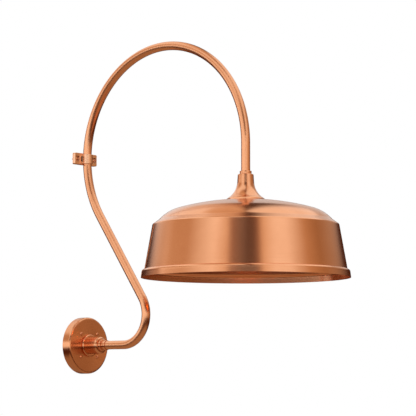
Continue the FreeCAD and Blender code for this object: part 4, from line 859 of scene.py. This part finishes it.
def studio():
    """A white backdrop for the camera, and the rings of cards for the metal to mirror."""
    world = bpy.data.worlds.new("studio")
    bpy.context.scene.world = world
    world.use_nodes = True
    tree = world.node_tree
    tree.nodes.clear()
    output = add(tree, "ShaderNodeOutputWorld")
    direction = add(tree, "ShaderNodeTexCoord").outputs["Generated"]
    facing = add(tree, "ShaderNodeVectorRotate", [("Vector", direction)], rotation_type="Z_AXIS",
                 Angle=CAMERA_BEARING)
    sides = add(tree, "ShaderNodeSeparateXYZ", [("Vector", facing.outputs["Vector"])])
    bearing = add(tree, "ShaderNodeMath", [(0, sides.outputs["Y"]), (1, sides.outputs["X"])],
                  operation="ARCTAN2")
    turn = add(tree, "ShaderNodeMapRange", [("Value", bearing.outputs["Value"])], From_Min=-math.pi,
               From_Max=math.pi)
    height = add(tree, "ShaderNodeMath", [(0, sides.outputs["Z"])], operation="ARCSINE")

    def ring(strength, cards):
        tones = ramp(tree, turn.outputs["Result"], [((place + 180) / 360, tone) for place, tone in cards])
        return add(tree, "ShaderNodeVectorMath", [(0, tones)], operation="SCALE",
                   Scale=strength).outputs["Vector"]

    room = ring(LOW_BRIGHTNESS, LOW_CARDS)
    for start, end, strength, cards in RINGS:
        share = add(tree, "ShaderNodeMapRange", [("Value", height.outputs["Value"])],
                    interpolation_type="SMOOTHSTEP", From_Min=math.radians(start), From_Max=math.radians(end))
        layer = add(tree, "ShaderNodeMixRGB", [("Fac", share.outputs["Result"]), ("Color1", room),
                                               ("Color2", ring(strength, cards))])
        room = layer.outputs["Color"]
    mirrored = add(tree, "ShaderNodeBackground", [("Color", room)])
    backdrop = add(tree, "ShaderNodeBackground", Color=(1, 1, 1, 1), Strength=1.0)
    eye = add(tree, "ShaderNodeLightPath")
    both = add(tree, "ShaderNodeMixShader", [("Fac", eye.outputs["Is Camera Ray"]), (1, mirrored.outputs[0]),
                                             (2, backdrop.outputs[0])])
    tree.links.new(both.outputs["Shader"], output.inputs["Surface"])


bpy.context.scene.view_settings.view_transform = "Standard"
studio()
FLOOR_REACH, FLOOR_Z = 20, -0.7
floor_corners = [(x * FLOOR_REACH, y * FLOOR_REACH, FLOOR_Z) for x, y in ((-1, -1), (1, -1), (1, 1), (-1, 1))]
floor = make_piece("floor", floor_corners, [(0, 1, 2, 3)], PALE_FLOOR)
# the pale floor shows and catches light, but the metal mirrors the dark lower studio, as in the photo
floor.visible_glossy = False

# the lamp's own warm light, a little smaller than its globe
GLOW_POWER, GLOW_RADIUS, GLOW_COLOUR = 0.32, 22 * MM, "#FF8A2A"
GLOW_PLACE = (SHADE_X, 0, 222 * MM)
glow = bpy.data.lights.new("lamp_glow", "POINT")
glow.energy, glow.shadow_soft_size, glow.color = GLOW_POWER, GLOW_RADIUS, linear(GLOW_COLOUR)[:3]
lamp_glow = bpy.data.objects.new("lamp_glow", glow)
lamp_glow.location = GLOW_PLACE
# it lights the shade without hiding the stem and the glowing filaments inside the glass
lamp_glow.visible_camera = False
lamp_glow.visible_transmission = False
bpy.context.scene.collection.objects.link(lamp_glow)

# the photograph's camera: its focal length in pixels of a picture 416 pixels wide, its place and its angles
FOCAL_PIXELS, PICTURE_PIXELS, SENSOR_WIDTH = 1947.3, 416, 36
CAMERA_PLACE = (3.4076, -3.5095, -0.1172)
CAMERA_TILT, CAMERA_TURN = math.radians(95.42), math.radians(40.47)
camera_data = bpy.data.cameras.new("camera")
camera_data.lens = FOCAL_PIXELS * SENSOR_WIDTH / PICTURE_PIXELS
camera_data.clip_end = 50
camera = bpy.data.objects.new("camera", camera_data)
camera.location = CAMERA_PLACE
camera.rotation_euler = (CAMERA_TILT, 0, CAMERA_TURN)
bpy.context.scene.collection.objects.link(camera)
bpy.context.scene.camera = camera
